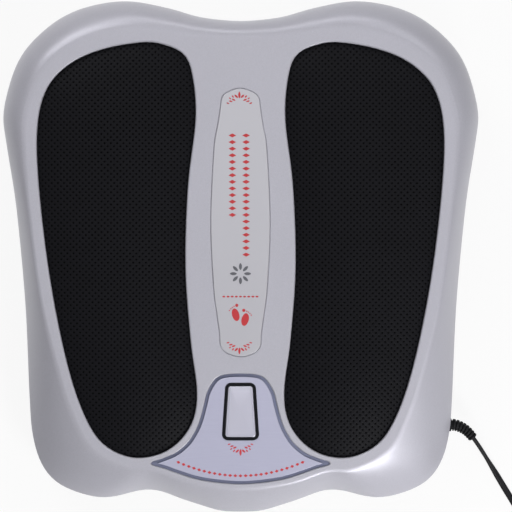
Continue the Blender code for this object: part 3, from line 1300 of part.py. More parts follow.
def cord():
    lead_points = placed(LEAD_ROUTE, (RELIEF_START, EXIT_V, EXIT_HEIGHT))
    route, tail = Route(lead_points), Route(placed(TAIL_ROUTE, lead_points[-1]))
    strain_relief(route)
    flat, plain = cord_section(CORD_SIDES), cord_section(COIL_SIDES)
    start = RELIEF_LENGTH + GAP
    lead = stretch(route, start, route.length)
    turns = [twist(i / (len(lead) - 1)) for i in range(len(lead))]
    cord_piece("cord_lead", lead, turns, flat)
    coil = coil_points(lead_points[-1])
    cord_piece("cord_coil", coil, [1] * len(coil), plain)
    print(f"coil: least gap to itself {least_coil_gap(coil) * 1000:.2f} mm")
    end = stretch(tail, 0, tail.length)
    cord_piece("cord_tail", end, [1] * len(end), flat)
    plug(tail)
    coil_length = sum((b - a).length for a, b in zip(coil, coil[1:]))
    print(f"cord: {route.length - start + coil_length + tail.length:.3f} m in all")


# The whole massager

def head_unit(side_name, side, name, u, v, first, deck):
    place = (side * u, v, 0)
    head_gear(f"{side_name}_{name}_gear", side, first, place, deck)
    massage_head(f"{side_name}_{name}_head", place, deck)
    head_axle(f"{side_name}_{name}_axle", place, deck)


def build():
    for thing in list(bpy.data.objects):
        bpy.data.objects.remove(thing)
    deck = add_object("deck_frame", None, None)
    deck.matrix_world = DECK
    upper_shell(deck)
    base_tray(deck)
    control_fascia(deck)
    button_bezel(deck)
    button_cap(deck)
    control_board(deck)
    label_plate(deck)
    angles = tooth_angles()
    for side_name, side in SIDES:
        mesh_cover(f"{side_name}_mesh_cover", side, deck)
        pad_frame(f"{side_name}_pad_frame", side, deck)
        gear_deck(f"{side_name}_gear_deck", side, deck)
        infrared_lamp(f"{side_name}_infrared_lamp", side, deck)
        for name, u, v in HEADS:
            head_unit(side_name, side, name, u, v, angles[name], deck)
        reducer_gear(f"{side_name}_reducer_gear", side, angles["pinion"], deck)
        reducer_axle(f"{side_name}_reducer_axle", side, deck)
    gearbox_case(deck)
    motor_can(deck)
    motor_shaft(deck)
    motor_strap(deck)
    feet()
    case_screws()
    cord()


build()
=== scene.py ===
import math

import bmesh
import bpy
from mathutils import Matrix, Vector
from mathutils.bvhtree import BVHTree
from mathutils.kdtree import KDTree


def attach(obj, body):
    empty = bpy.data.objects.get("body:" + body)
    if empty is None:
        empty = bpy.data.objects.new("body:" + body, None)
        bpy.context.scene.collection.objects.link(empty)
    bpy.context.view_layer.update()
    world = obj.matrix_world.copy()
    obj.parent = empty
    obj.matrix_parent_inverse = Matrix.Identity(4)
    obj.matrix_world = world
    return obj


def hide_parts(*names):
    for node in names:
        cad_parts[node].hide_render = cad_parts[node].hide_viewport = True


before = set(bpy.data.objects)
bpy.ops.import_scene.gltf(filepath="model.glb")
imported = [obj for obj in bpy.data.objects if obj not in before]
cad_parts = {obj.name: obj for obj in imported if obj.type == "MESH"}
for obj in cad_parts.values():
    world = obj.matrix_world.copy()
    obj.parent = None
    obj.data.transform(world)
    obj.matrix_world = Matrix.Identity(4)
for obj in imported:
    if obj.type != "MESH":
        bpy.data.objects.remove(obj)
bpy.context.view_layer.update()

scene = bpy.context.scene

# sizes that the whole massager shares, in metres
form = {
    "halfWidth": 0.1884,
    "halfLength": 0.200,
    "deckHeight": 0.079,      # middle of the deck above the floor
    "deckTilt": 5.5,          # degrees, toes up
    "partingHeight": 0.028,   # line between the cover and the tray
    "wall": 0.0025,
    "gap": 0.0003,
}
deckTurn = Matrix.Rotation(math.radians(form["deckTilt"]), 4, "X")
deck = Matrix.Translation((0, 0, form["deckHeight"])) @ deckTurn
sides = (("left", -1), ("right", 1))


def onDeck(u, v, w=0.0):
    return deck @ Vector((u, v, w))


def ease(t):
    t = min(max(t, 0.0), 1.0)
    return t * t * (3 - 2 * t)


def splinePoint(p0, p1, p2, p3, t):
    # a point between p1 and p2 of the smooth curve through all four
    return 0.5 * (2 * p1 + (p2 - p0) * t + (2 * p0 - 5 * p1 + 4 * p2 - p3) * t * t
                  + (3 * p1 - p0 - 3 * p2 + p3) * t ** 3)


def curvePoint(points, at):
    # a point of the closed smooth curve through the given ones
    index, count = int(math.floor(at)), len(points)
    return splinePoint(*(Vector(points[(index + k - 1) % count]) for k in range(4)), at - index)


def lengthsAlong(spots):
    runs = [0.0]
    for a, b in zip(spots, spots[1:]):
        runs.append(runs[-1] + (b - a).length)
    return runs


def evenSteps(runs, count):
    # where even steps along a line fall: after which point, and how far on to the next
    found, k = [], 0
    for i in range(count + 1):
        want = runs[-1] * i / count
        while k < len(runs) - 2 and runs[k + 1] < want:
            k += 1
        found.append((k, (want - runs[k]) / (runs[k + 1] - runs[k])))
    return found


def evenPlaces(points, count):
    # places on the closed curve that are equally far apart along it
    fine = 16
    spots = [curvePoint(points, i / fine) for i in range(len(points) * fine + 1)]
    return [(k + share) / fine for k, share in evenSteps(lengthsAlong(spots), count)[:-1]]


def smoothOutline(points, count):
    return [curvePoint(points, at) for at in evenPlaces(points, count)]


def mirrored(half):
    return list(half) + [(-x, y) for x, y in reversed(half[1:-1])]


def relaxed(ring, rounds):
    # evens out small waves of a closed ring: each second step lets out what the first drew in
    drawIn, letOut = 0.5, -0.52
    for k in range(2 * rounds):
        share = letOut if k % 2 else drawIn
        ring = [ring[i] + ((ring[i - 1] + ring[(i + 1) % len(ring)]) * 0.5 - ring[i]) * share
                for i in range(len(ring))]
    return ring


def movedOut(ring, distance, rounds=0):
    # square to a clockwise ring, in directions that are evened out first
    outs = []
    for i in range(len(ring)):
        along = Vector(ring[(i + 1) % len(ring)][:2]) - Vector(ring[i - 1][:2])
        outs.append(Vector((-along.y, along.x)).normalized())
    outs = [out.normalized() for out in relaxed(outs, rounds)]
    return [Vector((p[0] + out.x * distance, p[1] + out.y * distance)) for p, out in zip(ring, outs)]


def cleanlyMoved(ring, distance):
    # moved in or out, without the loops that a sharp corner would leave
    if not distance:
        return ring
    tree = KDTree(len(ring))
    for i, p in enumerate(ring):
        tree.insert((p.x, p.y, 0), i)
    tree.balance()
    nearest = abs(distance) * 0.97      # a place nearer to the old ring belongs to a loop
    kept = [p for p in movedOut(ring, distance) if tree.find((p.x, p.y, 0))[2] > nearest]
    return smoothOutline(kept, len(ring))


def roundedPolygon(corners, radius):
    found, steps = [], 6
    for i, corner in enumerate(corners):
        here = Vector(corner)
        before = (Vector(corners[i - 1]) - here).normalized()
        after = (Vector(corners[(i + 1) % len(corners)]) - here).normalized()
        half = before.angle(after) / 2
        middle = here + (before + after).normalized() * radius / math.sin(half)
        start = here + before * radius / math.tan(half) - middle
        end = here + after * radius / math.tan(half) - middle
        turn = start.angle_signed(end)
        for k in range(steps + 1):
            found.append(middle + Matrix.Rotation(-turn * k / steps, 2) @ start)
    return found


def circle(radius, count, middle=(0, 0)):
    return [Vector((middle[0] + radius * math.sin(2 * math.pi * i / count),
                    middle[1] + radius * math.cos(2 * math.pi * i / count))) for i in range(count)]


def deckRing(ring, w):
    return [onDeck(p[0], p[1], w) for p in ring]


def levelRing(ring, z):
    return [Vector((p[0], p[1], z)) for p in ring]


def quarterRound(steps=4):
    # a rounded edge from its wall to its top, as shares of its radius: how far in, and how far below the top
    turns = [math.pi / 2 * k / steps for k in range(steps + 1)]
    return [(1 - math.cos(turn), 1 - math.sin(turn)) for turn in turns]


def deselect():
    if bpy.context.object and bpy.context.object.mode != "OBJECT":
        bpy.ops.object.mode_set(mode="OBJECT")
    bpy.ops.object.select_all(action="DESELECT")


def choose(piece):
    deselect()
    piece.select_set(True)
    bpy.context.view_layer.objects.active = piece


def named(name):
    piece = bpy.context.object
    piece.name = piece.data.name = name
    return piece


def closeMesh():
    bpy.ops.mesh.select_all(action="SELECT")
    bpy.ops.mesh.normals_make_consistent(inside=False)
    bpy.ops.object.mode_set(mode="OBJECT")


def drawRings(name, rings):
    # a circle, extruded ring by ring and set to each outline, then capped at both ends
    count = len(rings[0])
    deselect()
    bpy.ops.mesh.primitive_circle_add(vertices=count, radius=0.01, fill_type="NOTHING")
    piece = named(name)
    bpy.ops.object.mode_set(mode="EDIT")
    bpy.ops.mesh.select_mode(type="VERT")
    bpy.ops.mesh.select_all(action="SELECT")
    for k, ring in enumerate(rings):
        if k:
            bpy.ops.mesh.extrude_edges_indiv()
        mesh = bmesh.from_edit_mesh(piece.data)
        mesh.verts.ensure_lookup_table()
        for i, point in enumerate(ring):
            mesh.verts[k * count + i].co = point
    bpy.ops.mesh.edge_face_add()
    bpy.ops.mesh.select_all(action="DESELECT")
    mesh = bmesh.from_edit_mesh(piece.data)
    mesh.verts.ensure_lookup_table()
    for vert in mesh.verts[:count]:
        vert.select = True
    mesh.select_flush(True)
    bpy.ops.mesh.edge_face_add()
    closeMesh()
    return piece


def addCylinder(radius, depth, place, turn=(0, 0, 0), count=40):
    deselect()
    bpy.ops.mesh.primitive_cylinder_add(vertices=count, radius=radius, depth=depth, location=place,
                                        rotation=turn)
    made = bpy.context.object
    bpy.ops.object.transform_apply(location=True, rotation=True, scale=True)
    return made


# up to these angles, in degrees, neighbouring faces shade as one smooth surface
shadeAngles = {"cover": 30, "flat": 35, "round": 40, "lip": 50, "cord": 60, "net": 80}


def smooth(piece, kind):
    choose(piece)
    bpy.ops.object.shade_smooth_by_angle(angle=math.radians(shadeAngles[kind]))


def applied(piece, kind, **settings):
    choose(piece)
    step = piece.modifiers.new(kind.title(), kind)
    for key, value in settings.items():
        setattr(step, key, value)
    bpy.ops.object.modifier_apply(modifier=step.name)


def crispFaces(piece, kind):
    # smooth, with flat faces that stay flat up to their rounded edges
    smooth(piece, kind)
    applied(piece, "WEIGHTED_NORMAL", keep_sharp=True, weight=100)


def cutWith(piece, cutter, operation="DIFFERENCE"):
    applied(piece, "BOOLEAN", object=cutter, operation=operation, solver="EXACT")
    deselect()
    bpy.data.objects.remove(cutter)


def dress(piece, finish, body, *nodes, slot=None):
    # the finish, the body that it rides on, and the solids that it stands for
    piece.data.materials.clear()
    piece.data.materials.append(finishes[finish])
    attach(piece, body)
    if nodes:
        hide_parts(*nodes)


def linear(hexColour):
    found = []
    for k in (0, 2, 4):
        value = int(hexColour[k:k + 2], 16) / 255
        found.append(value / 12.92 if value <= 0.04045 else ((value + 0.055) / 1.055) ** 2.4)
    return (*found, 1.0)


def setValues(node, **values):
    for key, value in values.items():
        node.inputs[key.replace("_", " ")].default_value = value


def addNode(tree, kind, settings=None, links=None, **values):
    # settings are the node's own, values its sockets' numbers, links socket to (node, output)
    node = tree.nodes.new("ShaderNode" + kind)
    for key, value in (settings or {}).items():
        setattr(node, key, value)
    setValues(node, **values)
    for key, (source, output) in (links or {}).items():
        tree.links.new(source.outputs[output], node.inputs[key])
    return node


def newFinish(name):
    # a finish, its tree and shader, and the object's own coordinates
    finish = bpy.data.materials.new(name)
    finish.use_nodes = True
    tree = finish.node_tree
    return finish, tree, tree.nodes["Principled BSDF"], addNode(tree, "TexCoord")


# Camera

view = {"elevation": 86.0, "distance": 1.65, "target": (0.012, 0.0, 0.055), "lens": 148.2, "sensor": 36,
        "far": 20}

cameraData = bpy.data.cameras.new("camera")
camera = bpy.data.objects.new("camera", cameraData)
scene.collection.objects.link(camera)
high = math.radians(view["elevation"])
camera.location = Vector(view["target"]) + view["distance"] * Vector((0, -math.cos(high), math.sin(high)))
camera.rotation_euler = (math.pi / 2 - high, 0, 0)
cameraData.lens = view["lens"]
cameraData.sensor_width = view["sensor"]
cameraData.clip_end = view["far"]
scene.camera = camera
print("camera placed")


# Finishes

textures = {
    "paintClouds": 14.0, "mouldClouds": 32.0, "knitClouds": 60.0,   # clouds of tone in a metre
    "shallow": 0.0001, "deep": 0.0002, "faint": 0.05,       # depths and a strength of the fine textures
    # how far the roughness varies, down and up
    "paintSpread": (0.02, 0.03), "mouldSpread": (0.04, 0.05), "brushSpread": (0.06, 0.08),
    "knitSpread": (0.08, 0.08),
}


def addPattern(tree, place, kind, scale, **values):
    # a pattern that stays with the object
    return addNode(tree, "Tex" + kind, links={"Vector": (place, "Object")}, Scale=scale, **values)


def addClouds(tree, place, scale):
    # soft clouds that vary the tone and the roughness
    return addPattern(tree, place, "Noise", textures[scale], Detail=3.0)


def addTone(tree, pattern, tones):
    # two close tones that a pattern mixes
    tone = addNode(tree, "Mix", {"data_type": "RGBA"}, {"Factor": pattern})
    tone.inputs[6].default_value = linear(tones[0])
    tone.inputs[7].default_value = linear(tones[1])
    return tone.outputs[2]


def roughen(tree, shader, pattern, roughness, spread):
    down, up = textures[spread]
    rough = addNode(tree, "MapRange", links={"Value": pattern}, To_Min=roughness - down,
                    To_Max=roughness + up)
    tree.links.new(rough.outputs["Result"], shader.inputs["Roughness"])


def emboss(tree, shader, pattern, strength, depth):
    relieved = addNode(tree, "Bump", links={"Height": pattern}, Strength=strength, Distance=depth)
    tree.links.new(relieved.outputs["Normal"], shader.inputs["Normal"])


def painted(name, tones, roughness, flake, spark, gloss):
    # metallic silver paint: fine flakes under a satin lacquer
    finish, tree, shader, place = newFinish(name)
    flakes = addPattern(tree, place, "Voronoi", 1 / flake)
    clouds = addClouds(tree, place, "paintClouds")
    tone = addTone(tree, (clouds, "Fac"), tones)
    glint = addNode(tree, "MapRange", links={"Value": (flakes, "Color")}, To_Min=1 - spark, To_Max=1 + spark)
    mixed = addNode(tree, "VectorMath", {"operation": "MULTIPLY"})
    tree.links.new(tone, mixed.inputs[0])
    tree.links.new(glint.outputs["Result"], mixed.inputs[1])
    tree.links.new(mixed.outputs[0], shader.inputs["Base Color"])
    roughen(tree, shader, (clouds, "Fac"), roughness, "paintSpread")
    emboss(tree, shader, (flakes, "Distance"), textures["faint"], textures["shallow"])
    setValues(shader, **gloss)
    return finish


def moulded(name, tones, roughness, grain, bump, gloss):
    # a moulded or cast surface: grain is the spacing of its fine texture in metres
    finish, tree, shader, place = newFinish(name)
    fine = addPattern(tree, place, "Noise", 1 / grain, Detail=2.0)
    clouds = addClouds(tree, place, "mouldClouds")
    tree.links.new(addTone(tree, (clouds, "Fac"), tones), shader.inputs["Base Color"])
    roughen(tree, shader, (clouds, "Fac"), roughness, "mouldSpread")
    emboss(tree, shader, (fine, "Fac"), bump, textures["deep"])
    setValues(shader, Coat_Roughness=0.08, **gloss)
    return finish


def brushed(name, tones, roughness, spacing, length, metallic):
    # fine parallel strokes: spacing between them and length along them, in metres
    finish, tree, shader, place = newFinish(name)
    stretched = addNode(tree, "Mapping", links={"Vector": (place, "Object")},
                        Scale=(1 / length, 1 / spacing, 1 / length))
    strokes = addNode(tree, "TexNoise", links={"Vector": (stretched, "Vector")}, Scale=1.0, Detail=3.0)
    tree.links.new(addTone(tree, (strokes, "Fac"), tones), shader.inputs["Base Color"])
    roughen(tree, shader, (strokes, "Fac"), roughness, "brushSpread")
    emboss(tree, shader, (strokes, "Fac"), textures["faint"], textures["shallow"])
    setValues(shader, Metallic=metallic)
    return finish


def knitted(name, tones, roughness, stitch, bump, specular):
    # black polyester: stitch is one loop of the knit in metres
    finish, tree, shader, place = newFinish(name)
    loops = addPattern(tree, place, "Voronoi", 1 / stitch)
    clouds = addClouds(tree, place, "knitClouds")
    tree.links.new(addTone(tree, (clouds, "Fac"), tones), shader.inputs["Base Color"])
    roughen(tree, shader, (loops, "Distance"), roughness, "knitSpread")
    emboss(tree, shader, (loops, "Distance"), bump, textures["deep"])
    setValues(shader, Specular_IOR_Level=specular)
    return finish


def soldered(name, mask, tracks, grid, roughness):
    # solder mask with a grid of tinned tracks
    finish, tree, shader, place = newFinish(name)
    pattern = addPattern(tree, place, "Brick", 1 / grid, Mortar_Size=0.03, Color1=linear(mask[0]),
                         Color2=linear(mask[1]), Mortar=linear(tracks))
    tree.links.new(pattern.outputs["Color"], shader.inputs["Base Color"])
    setValues(shader, Roughness=roughness)
    return finish


def matt(level):
    return {"Specular_IOR_Level": level}


def glossy(metallic, coat):
    return {"Metallic": metallic, "Coat_Weight": coat}


paintGloss = {"Metallic": 0.24, "Specular_IOR_Level": 0.18, "Coat_Weight": 0.05, "Coat_Roughness": 0.18}
finishTable = {     # two tones and the roughness; then sizes in metres, depth of the texture and gloss
    "silverPaint": (painted, ("b5b4be", "b2b1ba"), 0.38, 1 / 2600, 0.06, paintGloss),
    "cordPvc": (moulded, ("151517", "1b1b1d"), 0.46, 0.0006, 0.06, matt(0.12)),  # soft PVC sheath
    "reliefRubber": (moulded, ("131315", "19191b"), 0.58, 0.0005, 0.06, matt(0.12)),  # moulded rubber
    "plugPlastic": (moulded, ("131315", "1a1a1c"), 0.40, 0.0004, 0.06, matt(0.16)),  # black PVC
    "bezelBlack": (moulded, ("0b0c11", "0f1016"), 0.30, 0.0005, 0.03, matt(0.1)),  # black ABS
    "glossCap": (moulded, ("bbbaca", "c0bfce"), 0.22, 0.0008, 0.01, glossy(0.25, 0.6)),  # lacquered ABS
    "labelSilver": (moulded, ("abaab1", "afaeb4"), 0.38, 0.0003, 0.03, glossy(0.4, 0.2)),  # foil label
    "redPrint": (moulded, ("be2e34", "c6363d"), 0.50, 0.0003, 0.02, {}),  # screen-print ink
    "greyPrint": (moulded, ("54555c", "5c5d64"), 0.50, 0.0003, 0.02, {}),  # screen-print ink
    "slateTape": (moulded, ("6c7088", "777b91"), 0.60, 0.0006, 0.10, matt(0.3)),  # colour of a dark sheet in the groove round the panel: painted shade
    "trayPlastic": (moulded, ("8f8f96", "96969d"), 0.50, 0.0005, 0.10, {}),  # grey ABS
    "footRubber": (moulded, ("1a1a1b", "222223"), 0.75, 0.0006, 0.15, matt(0.2)),  # black rubber
    "zincSteel": (moulded, ("b9bbbd", "a7aaad"), 0.32, 0.0012, 0.05, glossy(1.0, 0.0)),  # zinc-plated steel
    "acetal": (moulded, ("e9e8e2", "dfded7"), 0.38, 0.0009, 0.04, {}),  # white acetal
    "knucklePlastic": (moulded, ("765d59", "6c5450"), 0.34, 0.0010, 0.04, {}),  # red-brown nylon
    "deckPlastic": (moulded, ("6d6f74", "777980"), 0.48, 0.0005, 0.08, {}),  # filled nylon
    "framePlastic": (moulded, ("1c1c1f", "252528"), 0.46, 0.0005, 0.06, {}),  # black ABS
    "lampRed": (moulded, ("a5161a", "8c1014"), 0.12, 0.0020, 0.01, glossy(0.0, 0.8)),  # ruby glass
    "pinBrass": (brushed, ("d9bd84", "cbac70"), 0.26, 0.0002, 0.004, 1.0),  # turned brass
    "brushedPanel": (brushed, ("a2a2b7", "adadc0"), 0.34, 0.00022, 0.012, 0.55),  # aluminium foil
    "polishedSteel": (brushed, ("c8cacc", "b4b6b9"), 0.22, 0.0002, 0.003, 1.0),  # turned steel
    "netYarn": (knitted, ("0c0c0f", "121216"), 0.55, 0.0005, 0.25, 0.07),  # glossy polyester
    "liningCloth": (knitted, ("050506", "080809"), 0.85, 0.0004, 0.2, 0.05),  # close-woven polyester
    "boardGreen": (soldered, ("1d5a34", "226539"), "5f8f62", 1 / 130, 0.35),
}
finishes = {name: draw(name, *values) for name, (draw, *values) in finishTable.items()}
print(f"{len(finishes)} finishes mixed")


# Housing

housing = {
    "parting": (
        (0, 0.9375), (0.1725, 0.9545), (0.2978, 0.99), (0.4878, 1.021), (0.6783, 0.99), (0.8217, 0.9115),
        (0.939, 0.7815), (1, 0.5875), (0.9915, 0.462), (0.9506, 0.208), (0.9092, -0.175), (0.8875, -0.5555),
        (0.8726, -0.7015), (0.8307, -0.82), (0.7452, -0.9), (0.5764, -0.945), (0.3806, -0.9145),
        (0.2282, -0.957), (0.0849, -0.997), (0, -1)),
    "rim": (
        (0, 0.8375), (0.1486, 0.8425), (0.268, 0.855), (0.4299, 0.8675), (0.6024, 0.835), (0.7325, 0.7725),
        (0.8201, 0.685), (0.8758, 0.545), (0.8854, 0.4325), (0.8694, 0.185), (0.819, -0.1825),
        (0.7314, -0.51), (0.6794, -0.645), (0.6316, -0.734), (0.5653, -0.7915), (0.4565, -0.836),
        (0.353, -0.844), (0.2229, -0.885), (0.0849, -0.9065), (0, -0.91)),
    "points": 300,
    "skirtEase": 1.3,
    "creaseShare": 0.6,     # how much of the skirt's fall starts at once, at the crease round the deck
    "rollLeast": 0.3,       # how round the skirt is, from here at the heel to 1 at the toes
    "rollStart": -0.1,      # where it starts to grow rounder, and where it is full
    "rollEnd": 0.6,
    "lip": 0.0024,          # how far the deck's edge is rounded, at the front
    "lipShare": 0.07,       # and down the skirt
    "lipSteps": 8,
    "levels": 22,
    "innerLevels": (1, 0.8, 0.6, 0.4, 0.2, 0.08, 0),
    "evening": 12,          # rounds that even out the outlines
    "past": 0.002,          # how far a cutter reaches past the wall
}


def sized(shares):
    return [(x * form["halfWidth"], y * form["halfLength"]) for x, y in shares]


partingAll, rimAll = mirrored(sized(housing["parting"])), mirrored(sized(housing["rim"]))
places = evenPlaces(partingAll, housing["points"])
partingRing = relaxed([curvePoint(partingAll, at) for at in places], housing["evening"])
rimRing = relaxed([curvePoint(rimAll, at) for at in places], housing["evening"])


def rollWeight(y):
    t = (y / form["halfLength"] - housing["rollStart"]) / (housing["rollEnd"] - housing["rollStart"])
    return housing["rollLeast"] + (1 - housing["rollLeast"]) * ease(t)


def skirtPoint(top, low, share, depth):
    # a share of the way from the deck's rim down to the parting line
    start = onDeck(top.x, top.y, -depth)
    roll = rollWeight(start.y)
    across = (1 - roll) * share + roll * math.sin(share * math.pi / 2)
    flare = (1 - housing["creaseShare"]) * share ** housing["skirtEase"] + housing["creaseShare"] * share
    down = (1 - roll) * flare + roll * (1 - math.cos(share * math.pi / 2))
    return Vector((start.x + (low.x - start.x) * across, start.y + (low.y - start.y) * across,
                   start.z + (form["partingHeight"] - start.z) * down))


def coverRings():
    inset = movedOut(rimRing, -housing["lip"])
    first = housing["lipShare"]
    rings = []
    for k in range(housing["lipSteps"] + 1):
        t = k / housing["lipSteps"]
        ring = []
        for edge, top, low in zip(inset, rimRing, partingRing):
            a, b = onDeck(edge.x, edge.y), onDeck(top.x, top.y)
            c = skirtPoint(top, low, first, 0)
            ring.append(a * (1 - t) ** 2 + b * 2 * t * (1 - t) + c * t * t)
        rings.append(ring)
    for k in range(1, housing["levels"] + 1):
        share = first + (1 - first) * k / housing["levels"]
        rings.append([skirtPoint(top, low, share, 0) for top, low in zip(rimRing, partingRing)])
    wall = form["wall"]
    innerRim, innerParting = movedOut(rimRing, -wall), movedOut(partingRing, -wall)
    for share in housing["innerLevels"]:
        rings.append([skirtPoint(top, low, share, wall) for top, low in zip(innerRim, innerParting)])
    return rings


def padOutline(side, outset, count):
    ring = movedOut(relaxed(smoothOutline(sized(pads["outline"]), count), pads["evening"]), outset)
    if side < 0:
        ring = [Vector((-p.x, p.y)) for p in reversed(ring)]
    return ring


def panelOutline(outset):
    length = panel["topV"] - panel["bottomV"]
    half = [(x * panel["halfWidth"], panel["topV"] - y * length) for x, y in panel["outline"]]
    return cleanlyMoved(relaxed(smoothOutline(mirrored(half), panel["points"]), panel["evening"]), outset)


def labelOutline(outset):
    middle, halfLength = (label["topV"] + label["bottomV"]) / 2, (label["topV"] - label["bottomV"]) / 2
    half = [(x * label["halfWidth"], middle + y * halfLength) for x, y in label["outline"]]
    ring = relaxed(smoothOutline(mirrored(half), label["points"]), label["evening"])
    return movedOut(ring, outset, label["evening"])


def buttonOutline(outset):
    top, bottom = button["topHalfWidth"], button["bottomHalfWidth"]
    corners = [(-top, button["topV"]), (top, button["topV"]), (bottom, button["bottomV"]),
               (-bottom, button["bottomV"])]
    return movedOut(roundedPolygon(corners, button["corner"]), outset)


pads = {
    "outline": (     # right one, as shares of the housing's half width and half length
        (0.3848, 0.8155), (0.5525, 0.791), (0.6932, 0.7345), (0.7941, 0.632), (0.8328, 0.4595),
        (0.8169, 0.172), (0.7649, -0.1855), (0.6879, -0.5045), (0.5993, -0.698), (0.4979, -0.774),
        (0.3907, -0.789), (0.2818, -0.7505), (0.2022, -0.6595), (0.1794, -0.535), (0.2054, -0.332),
        (0.2261, -0.0495), (0.2155, 0.2595), (0.1837, 0.524), (0.1975, 0.688), (0.2314, 0.768),
        (0.3015, 0.801)),
    "points": 160, "evening": 6,
    "edgeRound": 0.0013,
}
panel = {
    "outline": (     # the groove's outer wall
        (0, 0), (0.163, 0.008), (0.255, 0.034), (0.319, 0.093), (0.371, 0.175), (0.397, 0.259),
        (0.427, 0.356), (0.466, 0.459), (0.518, 0.546), (0.593, 0.634), (0.717, 0.719), (0.863, 0.771),
        (1.0, 0.815), (0.835, 0.860), (0.696, 0.901), (0.427, 0.965), (0, 1)),
    "points": 240, "evening": 3,
    "halfWidth": 0.0695,
    "topV": -0.0929,
    "bottomV": -0.1781,
    "depth": 0.0017,
    "mouth": 0.0004,       # how much wider the pocket is than its outline
    "edgeRound": 0.0007,
    "groove": 0.0026,      # width left round the plate
    "plateSeat": -0.0010,
    "plateTop": 0.0,
    "plateEdge": 0.0004,
    "tapeEase": 0.0001,    # room that the sheet of painted shade has in the pocket
    "tapeTop": -0.0012,
}
label = {
    "outline": (
        (0, 1), (0.576, 0.948), (0.654, 0.884), (0.758, 0.732), (0.892, 0.545), (1.0, 0.0), (0.905, -0.48),
        (0.814, -0.652), (0.706, -0.823), (0.623, -0.943), (0, -1)),
    "points": 160, "evening": 4,
    "halfWidth": 0.0231,
    "topV": 0.1277,
    "bottomV": -0.0797,
    "recess": 0.0006,
    "edgeRound": 0.0003,
    "margin": 0.0004,
    "proud": 0.0009,
    "plateEdge": 0.0004,
}
button = {
    "topV": -0.1023, "bottomV": -0.1417, "topHalfWidth": 0.0092, "bottomHalfWidth": 0.0118,
    "corner": 0.0020, "windowRound": 0.0002,
    "bezel": 0.0024, "bezelProud": 0.0008, "bezelFlange": 0.0020, "flangeThickness": 0.0015, "edge": 0.0006,
    "capProud": 0.0015, "crown": 0.0006, "capFlange": 0.0014,
    "line": ((-0.0010, 0.00003), (-0.00115, -0.00012), (-0.00135, -0.00012), (-0.0015, 0.00008)),
    "crownShares": (0.12, 0.3, 0.5, 0.7, 0.88),
    "stemRadius": 0.0035, "stemLength": 0.0030, "stemRoot": 0.0004, "stemSides": 32,
}


def openingCutter(outlineAt, edgeRound, floor):
    # a plug shaped like the opening, whose flared mouth leaves a rounded edge
    rings = [deckRing(outlineAt(0), floor)]
    for inward, below in quarterRound(5):
        rings.append(deckRing(outlineAt(edgeRound * inward), -edgeRound * below))
    rings.append(deckRing(outlineAt(edgeRound), housing["past"]))
    return drawRings("cutter", rings)


upperCover = drawRings("upperCover", coverRings())
through = -form["wall"] - housing["past"]
openings = (
    (lambda out: padOutline(-1, out, pads["points"]), pads["edgeRound"], through),
    (lambda out: padOutline(1, out, pads["points"]), pads["edgeRound"], through),
    (lambda out: panelOutline(panel["mouth"] + out), panel["edgeRound"], -panel["depth"]),
    (labelOutline, label["edgeRound"], -label["recess"]),
    (lambda out: buttonOutline(button["bezel"] + form["gap"] + out), button["windowRound"], through))
for opening in openings:
    cutWith(upperCover, openingCutter(*opening))
crispFaces(upperCover, "cover")
dress(upperCover, "silverPaint", "housing", "upper_shell", slot="silver_paint")
print("upper cover moulded")


# Strain relief, cord and plug

cord = {
    "width": 0.0050,
    "thickness": 0.0032,
    "coreSpacing": 0.0018,      # the two cores show as a shallow groove on each flat side
    "exit": (0.1553, -0.132, 0.0192),
    "lead": (       # from the wall outwards, down to the floor and into the coil
        (0, 0, 0), (0.0094, 0, 0), (0.0159, -0.0005, -0.0001), (0.0229, -0.0037, -0.0010),
        (0.0286, -0.0092, -0.0028), (0.0338, -0.0160, -0.0055), (0.0389, -0.0235, -0.0090),
        (0.0444, -0.0320, -0.0122), (0.0499, -0.0408, -0.0150), (0.0552, -0.0495, -0.0167),
        (0.0604, -0.0580, -0.0172), (0.0654, -0.0665, -0.0169), (0.0694, -0.0750, -0.0165),
        (0.0704, -0.0790, -0.0165), (0.0704, -0.0830, -0.0165)),
    "tail": (
        (0, -0.0006, 0.0055), (0, -0.0050, 0.0055), (0.0002, -0.0170, 0.0054), (0.0028, -0.0295, 0.0040),
        (0.0088, -0.0405, 0.0026), (0.0182, -0.0475, 0.0023), (0.0275, -0.0498, 0.0031),
        (0.0330, -0.0500, 0.0040), (0.0375, -0.0500, 0.0040)),
    # along the lead: 1 stands on its edge, 0 lies flat
    "twist": ((0, 1), (0.16, 1), (0.56, 0), (0.78, 0), (0.95, 1), (1, 1)), "twistStart": 0.0043,
    "turns": 4, "innerRadius": 0.024, "pitch": 0.0037, "layer": 0.0055, "dip": 0.0018, "dipWidth": 0.28,
    "perTurn": 72,
    "step": 0.0024,
    "hidden": 0.004,        # length inside the sleeve's tip
}
relief = {
    "length": 0.033, "radius": 0.0042, "ribRadius": 0.0049, "tipRadius": 0.0039, "ribDepth": 0.0012,
    "ribs": 8,
    "neckGap": 0.00006, "ribPlaces": (0.34, 0.40, 0.52, 0.88), "ribEdges": (0.00025, 0.00022),
    "innerFlange": 0.0055, "outerFlange": 0.0052, "flangeLength": 0.0018, "outerStart": 0.0102,
    "flangeEdge": 0.0004, "outerEdge": (0.0003, 0.0002),
    "sides": 28, "boreDepth": 0.005, "boreEase": 0.00012, "boreEdge": (0.0003, 0.0002), "step": 0.0004,
}
